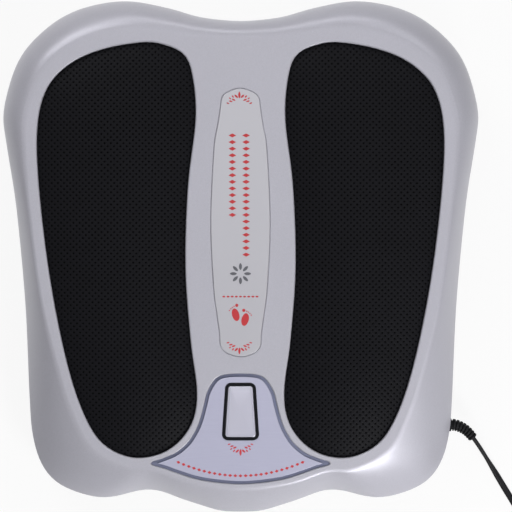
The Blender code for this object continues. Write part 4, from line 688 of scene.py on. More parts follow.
plug = {
    "length": 0.0353, "width": 0.0255, "thickness": 0.0134,
    "sections": (       # along, wide and thick, as shares
        (0.012, 0.26, 0.48), (0.0, 0.30, 0.54), (0.03, 0.32, 0.58), (0.10, 0.34, 0.62), (0.20, 0.40, 0.69),
        (0.30, 0.50, 0.77), (0.42, 0.63, 0.86), (0.52, 0.78, 0.935), (0.60, 0.90, 0.985),
        (0.66, 0.965, 1.0), (0.72, 0.995, 1.0), (0.96, 1.0, 1.0), (0.985, 0.985, 0.97), (1.0, 0.945, 0.90)),
    "cornerShare": 0.62,
    "grips": 5, "gripDepth": 0.0006, "gripRadius": 0.0011, "gripWidth": 0.62, "gripStart": 0.46,
    "gripPitch": 0.085, "firstGrip": 0.90,
    "pinRadius": 0.002, "pinLength": 0.019, "pinSpacing": 0.0186, "sleeve": 0.0100, "sleeveEdge": 0.0001,
    "gripSides": 20, "pinSides": 24,
    "bareStart": 0.00005, "bareStep": 0.00015, "tipShare": 0.9, "tipLeast": 0.08,
}


def routeLine(points, step):
    # an open smooth curve through the points, in even steps
    last, fine = len(points) - 1, 24
    spots = []
    for i in range(last * fine + 1):
        index = min(i // fine, last - 1)
        p1, p2 = points[index], points[index + 1]
        p0 = points[index - 1] if index else 2 * p1 - p2
        p3 = points[index + 2] if index + 2 <= last else 2 * p2 - p1
        spots.append(splinePoint(p0, p1, p2, p3, i / fine - index))
    return evened(spots, step)


def evened(spots, step):
    runs = lengthsAlong(spots)
    count = max(2, round(runs[-1] / step))
    return [spots[k].lerp(spots[k + 1], share) for k, share in evenSteps(runs, count)]


def lengthOf(line):
    return lengthsAlong(line)[-1]


def stretchOf(line, start, end=None):
    # the points of a line between two lengths along it
    found, run = [], 0.0
    for a, b in zip(line, line[1:]):
        gap = (b - a).length
        if not found and run + gap >= start:
            found.append(a.lerp(b, (start - run) / gap))
        if found and (end is None or run + gap < end):
            found.append(b)
        elif found:
            found.append(a.lerp(b, (end - run) / gap))
            return found
        run += gap
    return found


def frameAt(line, i):
    along = (line[min(i + 1, len(line) - 1)] - line[max(i - 1, 0)]).normalized()
    across = along.cross(Vector((0, 0, 1))).normalized()
    return along, across, across.cross(along)


def cordTurn(share):
    for (a, low), (b, high) in zip(cord["twist"], cord["twist"][1:]):
        if share <= b:
            return low + (high - low) * ease((share - a) / (b - a))
    return 1.0


def coilLine(first):
    # turns that wind in, a climb, and as many that wind out on top
    perTurn, turns = cord["perTurn"], cord["turns"]
    outer = cord["innerRadius"] + turns * cord["pitch"]
    spots = []
    for i in range(2 * turns * perTurn + 1):
        at = i / perTurn
        away = abs(turns - at)
        dip = cord["dip"] * ease((0.5 - away) / cord["dipWidth"])
        radius = cord["innerRadius"] + cord["pitch"] * away - dip
        height = first.z + cord["layer"] * ease((at - turns) * 2 + 0.5)
        angle = math.pi + 2 * math.pi * at
        spots.append(Vector((first.x + outer + radius * math.cos(angle), first.y + radius * math.sin(angle),
                             height)))
    return spots


def drawTube(name, rings):
    # a grid rolled up into a tube, its seam merged and its two ends filled
    columns, rows = len(rings[0]) + 1, len(rings)
    deselect()
    bpy.ops.mesh.primitive_grid_add(x_subdivisions=columns - 1, y_subdivisions=rows - 1, size=0.02)
    piece = named(name)
    for row, ring in enumerate(rings):
        for column, point in enumerate([*ring, ring[0]]):
            piece.data.vertices[row * columns + column].co = point
    bpy.ops.object.mode_set(mode="EDIT")
    bpy.ops.mesh.select_all(action="SELECT")
    bpy.ops.mesh.remove_doubles(threshold=1e-7)
    bpy.ops.mesh.fill_holes(sides=0)
    closeMesh()
    return piece


def cordSection(turn, along, across, up, middle, outset=0.0, count=18):
    # two round cores side by side
    core, half = cord["thickness"] / 2 + outset, cord["coreSpacing"] / 2
    tall = up * math.cos((1 - turn) * math.pi / 2) + across * math.sin((1 - turn) * math.pi / 2)
    thin = tall.cross(along)
    ring = []
    for k in range(count):
        angle = 2 * math.pi * k / count
        radius = half * abs(math.cos(angle)) + math.sqrt(core ** 2 - (half * math.sin(angle)) ** 2)
        ring.append(middle + tall * radius * math.cos(angle) + thin * radius * math.sin(angle))
    return ring


leadWhole = routeLine([Vector(p) + Vector(cord["exit"]) for p in cord["lead"]], cord["step"])
leadEnd = leadWhole[-1]
sleeveLine = stretchOf(leadWhole, 0, relief["length"])
leadLine = stretchOf(leadWhole, relief["length"] - cord["hidden"])
tailLine = routeLine([Vector(p) + leadEnd for p in cord["tail"]], cord["step"])
cordLine = leadLine + coilLine(leadEnd)[1:] + tailLine[1:]
leadTurns = [cordTurn((lengthOf(leadLine[:i + 1]) - cord["twistStart"]) / lengthOf(leadLine))
             for i in range(len(leadLine))]
cordTurns = leadTurns + [1.0] * (len(cordLine) - len(leadTurns))


def drawCord():
    return drawTube("powerCord", [cordSection(turn, *frameAt(cordLine, i), spot)
                                  for i, (spot, turn) in enumerate(zip(cordLine, cordTurns))])


def reliefProfile():
    # the sleeve from inside the wall to its tip, as lengths along it and radii
    innerFlange, outerFlange, edge = relief["innerFlange"], relief["outerFlange"], relief["flangeEdge"]
    thick, outer, radius = relief["flangeLength"], relief["outerStart"], relief["radius"]
    edgeLong, edgeDeep = relief["outerEdge"]
    start = outer + thick
    profile = [(0, innerFlange - edge), (edge, innerFlange), (thick, innerFlange), (thick, radius),
               (outer, radius), (outer, outerFlange - edgeDeep), (outer + edgeLong, outerFlange),
               (start - edge, outerFlange), (start, outerFlange - edge)]
    pitch = (relief["length"] - start) / relief["ribs"]
    valleyEnd, ribStart, ribTop, ribEnd = relief["ribPlaces"]
    for k in range(relief["ribs"]):
        rib = relief["ribRadius"] + (relief["tipRadius"] - relief["ribRadius"]) * (k + 1) / relief["ribs"]
        low, base = rib - relief["ribDepth"], start + k * pitch
        profile += [(base + relief["neckGap"], low), (base + pitch * valleyEnd, low),
                    (base + pitch * ribStart, rib - relief["ribEdges"][0]), (base + pitch * ribTop, rib),
                    (base + pitch * ribEnd, rib), (base + pitch, rib - relief["ribEdges"][1])]
    return profile


def drawRelief():
    # a ribbed sleeve, clipped through the wall between two flanges, with the cord's bore at its tip
    line = evened(sleeveLine, relief["step"])
    step = relief["length"] / (len(line) - 1)

    def placeAt(run):
        i = min(round(run / step), len(line) - 1)
        along, across, up = frameAt(line, i)
        return along, across, up, line[i] + along * (run - i * step)

    rings = []
    for run, radius in reliefProfile():
        along, across, up, middle = placeAt(run)
        rings.append([middle + across * p.x + up * p.y for p in circle(radius, relief["sides"])])
    edgeDeep, edgeWide = relief["boreEdge"]
    for depth, wider in ((0, edgeWide), (edgeDeep, 0), (relief["boreDepth"], 0)):
        ring = cordSection(1.0, *placeAt(relief["length"] - depth), relief["boreEase"] + wider,
                           relief["sides"])
        rings.append(ring[:1] + ring[:0:-1])
    return drawTube("strainRelief", rings)


def drawPlugBody(middle):
    rings = []
    for along, wide, thick in plug["sections"]:
        halfY, halfZ = plug["width"] * wide / 2, plug["thickness"] * thick / 2
        corners = [(-halfY, -halfZ), (-halfY, halfZ), (halfY, halfZ), (halfY, -halfZ)]
        ring = roundedPolygon(corners, min(halfY, halfZ) * plug["cornerShare"])
        rings.append([middle + Vector((along * plug["length"], p.x, p.y)) for p in ring])
    body = drawTube("plugBody", rings)
    for side in (-1, 1):
        for k in range(plug["grips"]):
            # a shallow groove across the flat of the plug, for the fingers
            half = plug["thickness"] / 2 * (1.0 if k else plug["firstGrip"])
            away = Vector((plug["length"] * (plug["gripStart"] + plug["gripPitch"] * k), 0,
                           side * (half + plug["gripRadius"] - plug["gripDepth"])))
            cutWith(body, addCylinder(plug["gripRadius"], plug["width"] * plug["gripWidth"], middle + away,
                                      (math.pi / 2, 0, 0), plug["gripSides"]))
    smooth(body, "round")
    return body


def drawPin(name, foot):
    # a pin with a sleeve over its first half and a round tip
    edge, radius = plug["sleeveEdge"], plug["pinRadius"]
    slim, tip = radius - plug["bareStep"], radius * plug["tipShare"]
    end = plug["sleeve"]
    sleeve = [(0.0, radius - edge), (edge, radius), (end - edge, radius), (end, radius - edge)]
    bare = [(end + plug["bareStart"], slim)]
    bare += [(plug["pinLength"] - tip * below, slim * max(1 - inward, plug["tipLeast"]))
             for inward, below in quarterRound(6)]
    parts = []
    for part, profile in ((name + "Sleeve", sleeve), (name, bare)):
        parts.append(drawTube(part, [[foot + Vector((run, p.x, p.y)) for p in circle(wide, plug["pinSides"])]
                                     for run, wide in profile]))
        smooth(parts[-1], "round")
    return parts


powerCord = drawCord()
smooth(powerCord, "cord")
dress(powerCord, "cordPvc", "housing", "cord_lead", "cord_coil", "cord_tail", slot="black_rubber")
strainRelief = drawRelief()
smooth(strainRelief, "round")
dress(strainRelief, "reliefRubber", "housing", "strain_relief", slot="black_rubber")
plugMiddle = cordLine[-1] + Vector((form["gap"], 0, 0))
plugBody, pins = drawPlugBody(plugMiddle), []
dress(plugBody, "plugPlastic", "housing", "plug_body", slot="black_plastic")
for name, side in (("Left", 1), ("Right", -1)):
    foot = plugMiddle + Vector((plug["length"] + form["gap"], side * plug["pinSpacing"] / 2, 0))
    sleeve, pin = drawPin("plugPin" + name, foot)
    dress(sleeve, "plugPlastic", "housing")
    dress(pin, "pinBrass", "housing", "plug_pin_" + name.lower(), slot="brass")
    pins += [sleeve, pin]
print(f"cord laid: {lengthOf(cordLine):.3f} m")


# Fabric covers

fabric = {
    "across": 0.00485,      # one diamond of the net, corner to corner
    "down": 0.0047,
    "strand": 0.00088,      # half of a strand's width
    "roundOff": 0.00026,    # how far a strand's edge drops
    "tuck": 0.0036,         # hidden under the deck's edge
    "seat": -0.0028,
    "crown": 0.007,
    "dome": 0.0010,
    "domeRadius": 0.037,
    "linerDrop": 0.0009,
    "fall": 2.5,            # how steeply the crown falls near the edge
    "edgeInset": 0.0006,    # where that fall ends, inside the window
    "outlinePoints": 120,
    "cells": 92,            # diamonds along each side of the grid
    "heads": ((0.0940, 0.0965), (0.0955, 0.0020), (0.0810, -0.0914)),    # toe, arch and heel
}


def middleLine(side, v):
    # the line through the three head axes
    (toeU, toeV), (archU, archV), (heelU, heelV) = fabric["heads"]
    v = min(max(v, heelV), toeV)
    if v > archV:
        return Vector((side * (archU + (toeU - archU) * (v - archV) / (toeV - archV)), v))
    return Vector((side * (heelU + (archU - heelU) * (v - heelV) / (archV - heelV)), v))


def coverHeight(side):
    # a low crown that falls to the window's edge, with a soft dome over each head
    ring = padOutline(side, -fabric["edgeInset"], fabric["outlinePoints"])
    count = len(ring)
    corners = [Vector((p.x, p.y, z)) for z in (-1.0, 1.0) for p in ring]
    wall = BVHTree.FromPolygons(corners, [(i, (i + 1) % count, count + (i + 1) % count, count + i)
                                          for i in range(count)])

    def height(p):
        middle = middleLine(side, p.y).to_3d()
        ray = Vector((p.x, p.y, 0)) - middle
        share = 1.0
        if ray.length > 1e-6:
            share = 1 - ray.length / (wall.ray_cast(middle, ray.normalized())[0] - middle).length
        share = min(max(share, 0.0), 1.0)
        dome = sum(ease(1 - math.hypot(p.x - side * u, p.y - v) / fabric["domeRadius"])
                   for u, v in fabric["heads"])
        rise = 1 - (1 - share) ** fabric["fall"]
        return fabric["seat"] + (fabric["crown"] - fabric["seat"]) * rise + fabric["dome"] * dome * rise

    return height


def inside(p, ring):
    found = False
    for a, b in zip(ring, ring[1:] + ring[:1]):
        if (a.y > p.y) != (b.y > p.y) and p.x < a.x + (b.x - a.x) * (p.y - a.y) / (b.y - a.y):
            found = not found
    return found


def drawNet(name, side, pierced=True, drop=0.0):
    # a grid laid out as diamonds, a hole in each, then draped over the heads
    height, outer = coverHeight(side), padOutline(side, fabric["tuck"], fabric["outlinePoints"])
    count = fabric["cells"]
    middle = sum(outer, Vector((0, 0))) / len(outer)
    deselect()
    bpy.ops.mesh.primitive_grid_add(x_subdivisions=count, y_subdivisions=count, size=0.1)
    net = named(name)
    for vert in net.data.vertices:
        i, j = vert.index % (count + 1) - count / 2, vert.index // (count + 1) - count / 2
        vert.co = (middle.x + (i - j) * fabric["across"] / 2, middle.y + (i + j) * fabric["down"] / 2, 0)
    bpy.ops.object.mode_set(mode="EDIT")
    bpy.ops.mesh.select_mode(type="FACE")
    bpy.ops.mesh.select_all(action="DESELECT")
    mesh = bmesh.from_edit_mesh(net.data)
    for face in mesh.faces:
        face.select = not inside(face.calc_center_median(), outer)
    bpy.ops.mesh.delete(type="FACE")
    bpy.ops.mesh.select_all(action="SELECT")
    bpy.ops.mesh.normals_make_consistent(inside=False)
    if pierced:
        bpy.ops.mesh.inset(use_individual=True, use_even_offset=True, thickness=fabric["strand"],
                           depth=-fabric["roundOff"])
        bpy.ops.mesh.delete(type="FACE")
    mesh = bmesh.from_edit_mesh(net.data)
    for vert in mesh.verts:
        vert.co = onDeck(vert.co.x, vert.co.y, height(vert.co) + vert.co.z - drop)
    bpy.ops.object.mode_set(mode="OBJECT")
    if pierced:
        applied(net, "SUBSURF", levels=1)
    smooth(net, "net")
    return net


for name, side in sides:
    net = drawNet(name + "NetCover", side)
    liner = drawNet(name + "LinerCloth", side, False, fabric["linerDrop"])
    dress(net, "netYarn", "housing", name + "_mesh_cover", slot="black_mesh")
    dress(liner, "liningCloth", "housing", slot="black_mesh")
    ring = padOutline(side, fabric["tuck"], fabric["outlinePoints"])


# Control panel, button and label

def drawPlate(name, outlineAt, seat, top, edge):
    # a flat plate on the deck with a rounded upper edge
    rings = [deckRing(outlineAt(0), seat)]
    rings += [deckRing(outlineAt(-edge * inward), top - edge * below) for inward, below in quarterRound()]
    return drawRings(name, rings)


def drawBezel():
    # the black surround: rounded lips inside and out, and a flange under the deck
    wide, gap, edge, proud = button["bezel"], form["gap"], button["edge"], button["bezelProud"]
    flange, under = wide + button["bezelFlange"], -form["wall"] - gap
    low = under - button["flangeThickness"]
    path = [(flange, low), (flange, under), (wide, under)]
    path += [(wide - edge * inward, proud - edge * below) for inward, below in quarterRound()]
    path += [(gap + edge * inward, proud - edge * below) for inward, below in reversed(quarterRound())]
    rings = [deckRing(buttonOutline(out), w) for out, w in path + [(gap, low)]]
    loops = [list(loop) for loop in zip(*rings)]
    return drawTube("buttonBezel", loops + loops[:1])


def drawCap():
    # a glossy crowned cap, engraved with a fine line near its edge, with its flange and stem
    under = -form["wall"] - 2 * form["gap"] - button["flangeThickness"]
    low, crown, edge = under - button["flangeThickness"], button["crown"], button["edge"]
    shoulder, flange = button["capProud"] - crown, button["capFlange"]
    path = [(flange, low), (flange, under), (0.0, under)]
    path += [(-edge * inward, shoulder - edge * below) for inward, below in quarterRound()]
    path += [(out, shoulder + w) for out, w in button["line"]]
    rings = [deckRing(buttonOutline(out), w) for out, w in path]
    middle = Vector((0, (button["topV"] + button["bottomV"]) / 2))
    lastOut, lastRise = button["line"][-1]
    last = buttonOutline(lastOut)
    for share in button["crownShares"]:
        lift = lastRise + (crown - lastRise) * (1 - (1 - share) ** 2)
        rings.append([onDeck(*p.lerp(middle, share), shoulder + lift) for p in last])
    cap = drawRings("buttonCap", rings)
    root, length = button["stemRoot"], button["stemLength"]
    stem = addCylinder(button["stemRadius"], length + root, (0, 0, 0), count=button["stemSides"])
    stem.data.transform(deck @ Matrix.Translation((middle.x, middle.y, low + (root - length) / 2)))
    cutWith(cap, stem, "UNION")
    return cap


def buttonHole():
    out, past = button["bezel"] + form["gap"], housing["past"]
    return drawRings("cutter", [deckRing(buttonOutline(out), w) for w in (-past, past)])


# Printed marks: place, turn in degrees, length, width and sides of each

prints = {
    "leafSides": 14, "leafPoint": 0.35,     # how pointed a leaf's ends are
    "tallLeaf": (0, 0.0026, 0, 0.0052, 0.0018),
    "leafPairs": (
        (0.0024, 0.0016, 48, 0.0036, 0.0015), (0.0044, -0.0011, 70, 0.0030, 0.0013),
        (0.0050, 0.0014, 40, 0.0024, 0.0011), (0.0066, -0.0022, 76, 0.0028, 0.0012),
        (0.0072, 0.0000, 50, 0.0019, 0.0010), (0.0088, -0.0037, 72, 0.0024, 0.0010)),
    "panelSprig": (0, -0.1510), "labelSprigs": ((-0.0008, 0.1197), (-0.0008, -0.0723)),
    "rowBeads": 25, "rowPitch": 0.0040, "rowLow": -0.1718, "rowHalf": 0.0468, "rowRise": 0.0100,
    "rowLean": 0.40, "rowSize": (0.0032, 0.0024, 4),
    "columns": ((-0.0062, 13), (0.0044, 19)), "columnTop": 0.0912, "columnPitch": 0.0051,
    "columnSize": (0.0060, 0.0031, 4),
    "dashes": 9, "dashStart": (-0.0128, -0.0330), "dashPitch": 0.0032, "dashSize": (0.0023, 0.0013, 12),
    "soles": ((-0.0037, -0.0470, -16), (0.0036, -0.0507, 14)), "soleSize": (0.0100, 0.0056, 24),
    "balls": ((-0.0028, -0.0397, 0), (0.0026, -0.0436, 0)), "ballSize": (0.0025, 0.0025, 16),
    "toes": ((-0.0049, -0.0405, 0), (-0.0062, -0.0413, 0), (-0.0074, -0.0424, 0), (-0.0085, -0.0437, 0),
             (0.0049, -0.0443, 0), (0.0061, -0.0450, 0), (0.0073, -0.0460, 0), (0.0083, -0.0473, 0)),
    "toeSize": (0.0010, 0.0010, 10),
    "rosette": (0, -0.0153), "rosetteRadius": 0.0055, "rosetteLeaves": 8, "rosetteLeaf": (0.0054, 0.0024),
    "thickness": 0.00004, "lift": 0.00001,
}


def sprig(middle, down):
    # a small leaf spray: one upright leaf, and leaves that shrink along two drooping arms
    leaves = [prints["tallLeaf"]]
    for reach, rise, lean, long, wide in prints["leafPairs"]:
        leaves += [(side * reach, rise, side * lean, long, wide) for side in (-1, 1)]
    start, flip = (180, -1) if down else (0, 1)
    return [(middle[0] + u, middle[1] + flip * v, start + flip * turn, long, wide, prints["leafSides"])
            for u, v, turn, long, wide in leaves]


def panelBeads():
    # a curved row of small lozenges along the panel's lower edge
    found = []
    for k in range(prints["rowBeads"]):
        u = (k - (prints["rowBeads"] - 1) / 2) * prints["rowPitch"]
        share = u / prints["rowHalf"]
        found.append((u, prints["rowLow"] + prints["rowRise"] * share ** 2,
                      90 - math.degrees(prints["rowLean"] * share), *prints["rowSize"]))
    return found


def labelBeads():
    # two plain columns of lozenges and a thin dashed line
    found = [(u, prints["columnTop"] - prints["columnPitch"] * k, 90, *prints["columnSize"])
             for u, count in prints["columns"] for k in range(count)]
    start, v = prints["dashStart"]
    return found + [(start + prints["dashPitch"] * k, v, 90, *prints["dashSize"])
                    for k in range(prints["dashes"])]


def labelSoles():
    # a plain pair of soles: an oval, a large dot and four small ones each
    return [(*place, *prints[size]) for places, size in (("soles", "soleSize"), ("balls", "ballSize"),
                                                         ("toes", "toeSize")) for place in prints[places]]


def rosette():
    (u, v), radius, count = prints["rosette"], prints["rosetteRadius"], prints["rosetteLeaves"]
    return [(u + radius * math.sin(turn), v + radius * math.cos(turn), math.degrees(turn),
             *prints["rosetteLeaf"], prints["leafSides"])
            for turn in (2 * math.pi / count * k for k in range(count))]


def drawPrint(name, finish, marks, top):
    # marks a few hundredths of a millimetre thick, joined to one piece
    parts = []
    for u, v, turn, long, wide, corners in marks:
        deselect()
        bpy.ops.mesh.primitive_circle_add(vertices=corners, radius=1.0, fill_type="NGON")
        mark = bpy.context.object
        lean = math.radians(turn)
        for vert in mark.data.vertices:
            x, y = vert.co.x * wide / 2, vert.co.y * long / 2
            if corners == prints["leafSides"]:
                x *= abs(vert.co.x) ** prints["leafPoint"]
            vert.co = onDeck(u + x * math.cos(lean) + y * math.sin(lean),
                             v - x * math.sin(lean) + y * math.cos(lean), top + prints["lift"])
        parts.append(mark)
    deselect()
    for part in parts:
        part.select_set(True)
    bpy.context.view_layer.objects.active = parts[0]
    bpy.ops.object.join()
    whole = named(name)
    applied(whole, "SOLIDIFY", thickness=prints["thickness"], offset=1.0)
    dress(whole, finish, "housing")


plateIn = panel["mouth"] - panel["groove"]
panelPlate = drawPlate("controlPanel", lambda out: panelOutline(plateIn + out), panel["plateSeat"],
                       panel["plateTop"], panel["plateEdge"])
cutWith(panelPlate, buttonHole())
crispFaces(panelPlate, "flat")
dress(panelPlate, "brushedPanel", "housing", "control_fascia", slot="brushed_panel")

# a dark blue-grey sheet in the panel's pocket, seen in the groove round the plate: painted shade in the
# groove
grooveShadeSheet = drawRings("grooveShadeSheet", [deckRing(panelOutline(panel["tapeEase"]), w)
                                    for w in (panel["tapeEase"] - panel["depth"], panel["tapeTop"])])
cutWith(grooveShadeSheet, buttonHole())
smooth(grooveShadeSheet, "flat")
dress(grooveShadeSheet, "slateTape", "housing")

buttonBezel = drawBezel()
smooth(buttonBezel, "lip")
dress(buttonBezel, "bezelBlack", "housing", "button_bezel", slot="black_plastic")

buttonCap = drawCap()
smooth(buttonCap, "flat")
dress(buttonCap, "glossCap", "push_button", "button_cap", slot="gloss_button")

drawPrint("panelPrint", "redPrint", sprig(prints["panelSprig"], True) + panelBeads(), panel["plateTop"])

labelPlate = drawPlate("labelPlate", lambda out: labelOutline(out - label["margin"]),
                       form["gap"] - label["recess"], label["proud"], label["plateEdge"])
crispFaces(labelPlate, "flat")
dress(labelPlate, "labelSilver", "housing", "label_plate", slot="label_silver")

upper, lower = prints["labelSprigs"]
drawPrint("labelPrint", "redPrint", sprig(upper, False) + sprig(lower, True) + labelBeads() + labelSoles(),
          label["proud"])
drawPrint("labelRosette", "greyPrint", rosette(), label["proud"])
print("panel, button and label fitted")


# Base tray, feet and screws

tray = {
    "bottom": 0.005,
    # inset and rise of the rounded edge under the skirt
    "steps": ((0.0150, 0.0002), (0.0122, 0.0000), (0.0106, 0.0003), (0.0092, 0.0011), (0.0078, 0.0023),
              (0.0066, 0.0038), (0.0054, 0.0056), (0.0043, 0.0075), (0.0033, 0.0097), (0.0024, 0.0120),
              (0.0016, 0.0150), (0.0010, 0.0180), (0.0005, 0.0205), (0.0002, 0.0216)),
    "evening": 2,
    "seam": 0.0008,         # the thin shadow line under the cover
    "seamEdge": ((0.6, 0.3), (0.7, 0.0)),   # its bevel: inset and depth, as shares of the line
    "lip": (0.0052, 0.0070), "lipHeight": 0.0022,
    "floor": 0.0025, "floorCurve": ((0.0070, 0.0054), (0.0112, 0.0012), (0.0160, 0.0)),
    "feet": (("front", 0.112, -0.140), ("rear", 0.128, 0.118)),
    "footRadius": 0.011, "footTop": 0.0062, "footRecess": 0.0015, "footBoss": 0.016,
    "footSides": 40,
    # radii and heights of its dished sole
    "sole": ((0.0072, 0.0005), (0.0084, 0.0), (0.0100, 0.0), (0.0107, 0.0003), (0.0110, 0.0010)),
    "screws": (("front", 0.0300, -0.161), ("rear", 0.0240, 0.150)),
    "headRadius": 0.0036, "counterbore": 0.010, "screwBoss": 0.006,
    "vents": 5, "ventStart": 0.070, "ventLength": 0.034, "ventWidth": 0.003, "ventPitch": 0.008,
    "ventMiddle": 0.010,
    "sink": 0.001,          # how far a boss starts inside the floor
    "bossGap": 0.0001, "past": 0.01,    # left over a boss, and how far a cutter reaches past the floor
    "outletStart": 0.153, "outletLength": 0.05,
}
screwSize = {
    # a pan head with a cross recess: radii and heights over its shoulder, then the shank
    "head": ((0.0004, 0.0024), (0.0018, 0.00235), (0.0028, 0.0021), (0.0034, 0.0015), (0.0036, 0.0010),
             (0.0036, 0.0)),
    "shank": ((0.0016, 0.0), (0.0016, 0.0285), (0.0006, 0.030)),
    "slot": (0.0038, 0.0008, 0.0020), "slotHeight": 0.0019, "slotTurn": 20,
    "sides": 32,
}


def standing(radius, low, high, x, y):
    return addCylinder(radius, high - low, (x, y, (low + high) / 2))


def drawTray():
    base, top, gap = tray["bottom"], form["partingHeight"] - form["gap"], form["gap"]
    floor, seam, sunk, below = base + tray["floor"], tray["seam"], base + tray["sink"], base - tray["past"]
    lipOut, lipIn = tray["lip"]
    levels = [(inset, base + rise) for inset, rise in tray["steps"]]
    levels += [(0.0, top - seam)] + [(seam * inset, top - seam * depth) for inset, depth in tray["seamEdge"]]
    levels += [(lipOut, top), (lipOut, top + tray["lipHeight"]), (lipIn, top + tray["lipHeight"])]
    levels += [(inset, floor + rise) for inset, rise in tray["floorCurve"]]
    piece = drawRings("baseTray", [levelRing(movedOut(partingRing, -inset, tray["evening"]), z)
                                   for inset, z in levels])
    for _, x, y in tray["feet"]:
        for _, side in sides:
            cutWith(piece, standing(tray["footBoss"], sunk, floor + tray["footRecess"], side * x, y), "UNION")
            cutWith(piece, standing(tray["footRadius"] + gap, below, base + tray["footRecess"], side * x, y))
    for _, u, v in tray["screws"]:
        for _, side in sides:
            y = onDeck(u, v).y
            cutWith(piece, standing(tray["screwBoss"], sunk, top - tray["bossGap"], side * u, y), "UNION")
            cutWith(piece, standing(tray["headRadius"] + gap, below, base + tray["counterbore"], side * u, y))
    for _, side in sides:
        for k in range(tray["vents"]):
            y = tray["ventMiddle"] + (k - (tray["vents"] - 1) / 2) * tray["ventPitch"]
            middle = side * (tray["ventStart"] + tray["ventLength"] / 2)
            cutWith(piece, drawSlot(middle, y, tray["ventLength"], tray["ventWidth"], below,
                                    floor + tray["past"]))
    outlet = Vector((tray["outletStart"] + tray["outletLength"] / 2, *cord["exit"][1:]))
    cutWith(piece, addCylinder(relief["radius"] + gap, tray["outletLength"], outlet, (0, math.pi / 2, 0)))
    return piece


def drawSlot(x, y, length, width, low, high):
    ring = roundedPolygon([(x - length / 2, y - width / 2), (x - length / 2, y + width / 2),
                           (x + length / 2, y + width / 2), (x + length / 2, y - width / 2)], width * 0.499)
    return drawRings("cutter", [levelRing(ring, low), levelRing(ring, high)])


def drawTurned(name, profile, x, y, count):
    return drawRings(name, [levelRing(circle(radius, count, (x, y)), z) for radius, z in profile])


def drawFoot(name, x, y):
    return drawTurned(name, [*tray["sole"], (tray["footRadius"], tray["footTop"])], x, y, tray["footSides"])


def drawScrew(name, x, y):
    shoulder = tray["bottom"] + tray["counterbore"] - form["gap"]
    profile = [(radius, shoulder - height) for radius, height in screwSize["head"]]
    profile += [(radius, shoulder + height) for radius, height in screwSize["shank"]]
    piece = drawTurned(name, profile, x, y, screwSize["sides"])
    for turn in (0, 90):
        deselect()
        bpy.ops.mesh.primitive_cube_add(size=1, location=(x, y, shoulder - screwSize["slotHeight"]),
                                        rotation=(0, 0, math.radians(turn + screwSize["slotTurn"])))
        bar = bpy.context.object
        bar.scale = screwSize["slot"]
        bpy.ops.object.transform_apply(location=True, rotation=True, scale=True)
        cutWith(piece, bar)
    return piece


baseTray = drawTray()
crispFaces(baseTray, "flat")
dress(baseTray, "trayPlastic", "housing", "base_tray", slot="grey_plastic")
for end, x, y in tray["feet"]:
    for name, side in sides:
        foot = drawFoot(f"{end}{name.title()}Foot", side * x, y)
        smooth(foot, "round")
        dress(foot, "footRubber", "housing", f"{end}_{name}_foot", slot="black_rubber")
for end, u, v in tray["screws"]:
    for name, side in sides:
        screw = drawScrew(f"{end}{name.title()}Screw", side * u, onDeck(u, v).y)
        smooth(screw, "flat")
        dress(screw, "zincSteel", "housing", f"{end}_{name}_screw", slot="steel")
print("tray, feet and screws made")


# Pieces inside, kept as the solids they are

insideFinishes = {
    "_gear": "acetal", "_head": "knucklePlastic", "_axle": "polishedSteel", "motor_can": "zincSteel",
    "motor_shaft": "polishedSteel", "motor_strap": "zincSteel", "gearbox_case": "trayPlastic",
    "_gear_deck": "deckPlastic", "_pad_frame": "framePlastic", "control_board": "boardGreen",
    "push_switch": "framePlastic", "_infrared_lamp": "lampRed",
}
for name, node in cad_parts.items():
    chosen = [finish for ending, finish in insideFinishes.items() if name.endswith(ending)]
    if chosen and not node.hide_render:
        node.data.materials[0] = finishes[chosen[-1]]
print("inside pieces finished")


# Light, floor and background

lights = {      # place, size and watts; each looks at the middle unless it has another aim
    "topLight": ((0.0, 0.3, 2.2), (1.6, 1.2), 6.8),
    "toeLeftLight": ((-0.9, 1.4, 1.3), (1.0, 0.8), 13.0),
    "toeRightLight": ((0.9, 1.4, 1.3), (1.0, 0.8), 4.4),
    "lowToeLight": ((0.0, 1.9, 0.7), (1.2, 0.5), 5.8),
    "keyLight": ((1.1, -1.3, 1.5), (0.9, 0.8), 9.0),
    "lowRightLight": ((1.4, -1.2, 0.6), (0.9, 0.7), 2.6),
    "heelLight": ((0.34, -0.75, 0.50), (0.25, 0.25), 4.0, (0.07, -0.19, 0.05)),
}
studio = {
    "ground": "f4f6ff", "groundLight": 0.05,
    "table": "f0f0f0", "tableSize": 8, "tableRoughness": 0.9, "tableSpecular": 0.1,
    "tableGlow": 0.9,       # how white the table looks to the camera
}


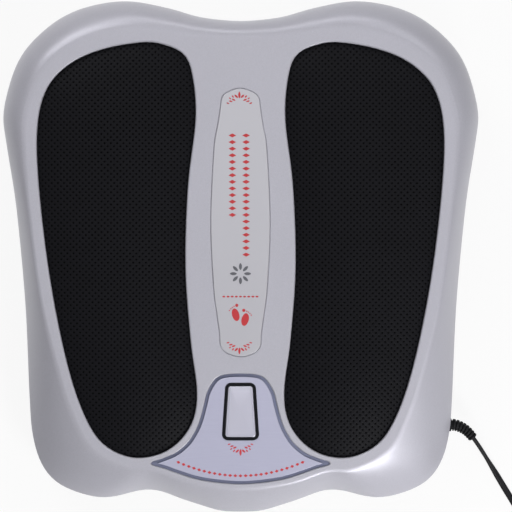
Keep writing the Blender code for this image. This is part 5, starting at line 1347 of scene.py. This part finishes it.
def softLight(name, place, size, power, aim=(0, 0, 0.05)):
    data = bpy.data.lights.new(name, "AREA")
    data.shape = "RECTANGLE"
    data.size, data.size_y = size
    data.energy = power
    lamp = bpy.data.objects.new(name, data)
    scene.collection.objects.link(lamp)
    lamp.location = place
    lamp.rotation_euler = (Vector(aim) - Vector(place)).to_track_quat("-Z", "Y").to_euler()


def combined(tree, operation, first, second):
    node = addNode(tree, "Math", {"operation": operation})
    for socket, source in zip(node.inputs, (first, second)):
        if isinstance(source, float):
            socket.default_value = source
        else:
            tree.links.new(source, socket)
    return node.outputs["Value"]


def whitened(tree, shader, glow, share, outputNode):
    # white for the rays that meet a white studio: those of the camera, of mirrors and through glass
    rays = addNode(tree, "LightPath").outputs
    seen = combined(tree, "MAXIMUM", rays["Is Camera Ray"], rays["Is Transmission Ray"])
    seen = combined(tree, "MAXIMUM", seen, rays["Is Glossy Ray"])
    white = addNode(tree, glow, Color=(1, 1, 1, 1), Strength=1.0)
    mixed = addNode(tree, "MixShader")
    tree.links.new(combined(tree, "MULTIPLY", seen, share), mixed.inputs["Fac"])
    tree.links.new(shader.outputs[0], mixed.inputs[1])
    tree.links.new(white.outputs[0], mixed.inputs[2])
    tree.links.new(mixed.outputs[0], tree.nodes[outputNode].inputs["Surface"])


def studioWorld():
    world = bpy.data.worlds.new("studio")
    scene.world = world
    world.use_nodes = True
    ground = world.node_tree.nodes["Background"]
    setValues(ground, Color=linear(studio["ground"]), Strength=studio["groundLight"])
    whitened(world.node_tree, ground, "Background", 1.0, "World Output")


def studioFloor():
    # a matt white table; the camera sees it almost white, with a faint shadow
    deselect()
    bpy.ops.mesh.primitive_plane_add(size=studio["tableSize"], location=(0, 0, 0))
    floor = bpy.context.object
    floor.name = "floor"
    finish, tree, shader, _ = newFinish("tableWhite")
    setValues(shader, Base_Color=linear(studio["table"]), Roughness=studio["tableRoughness"],
              Specular_IOR_Level=studio["tableSpecular"])
    whitened(tree, shader, "Emission", studio["tableGlow"], "Material Output")
    floor.data.materials.append(finish)


for name, values in lights.items():
    softLight(name, *values)
studioWorld()
studioFloor()
scene.view_settings.view_transform = "Standard"
print("studio lit")
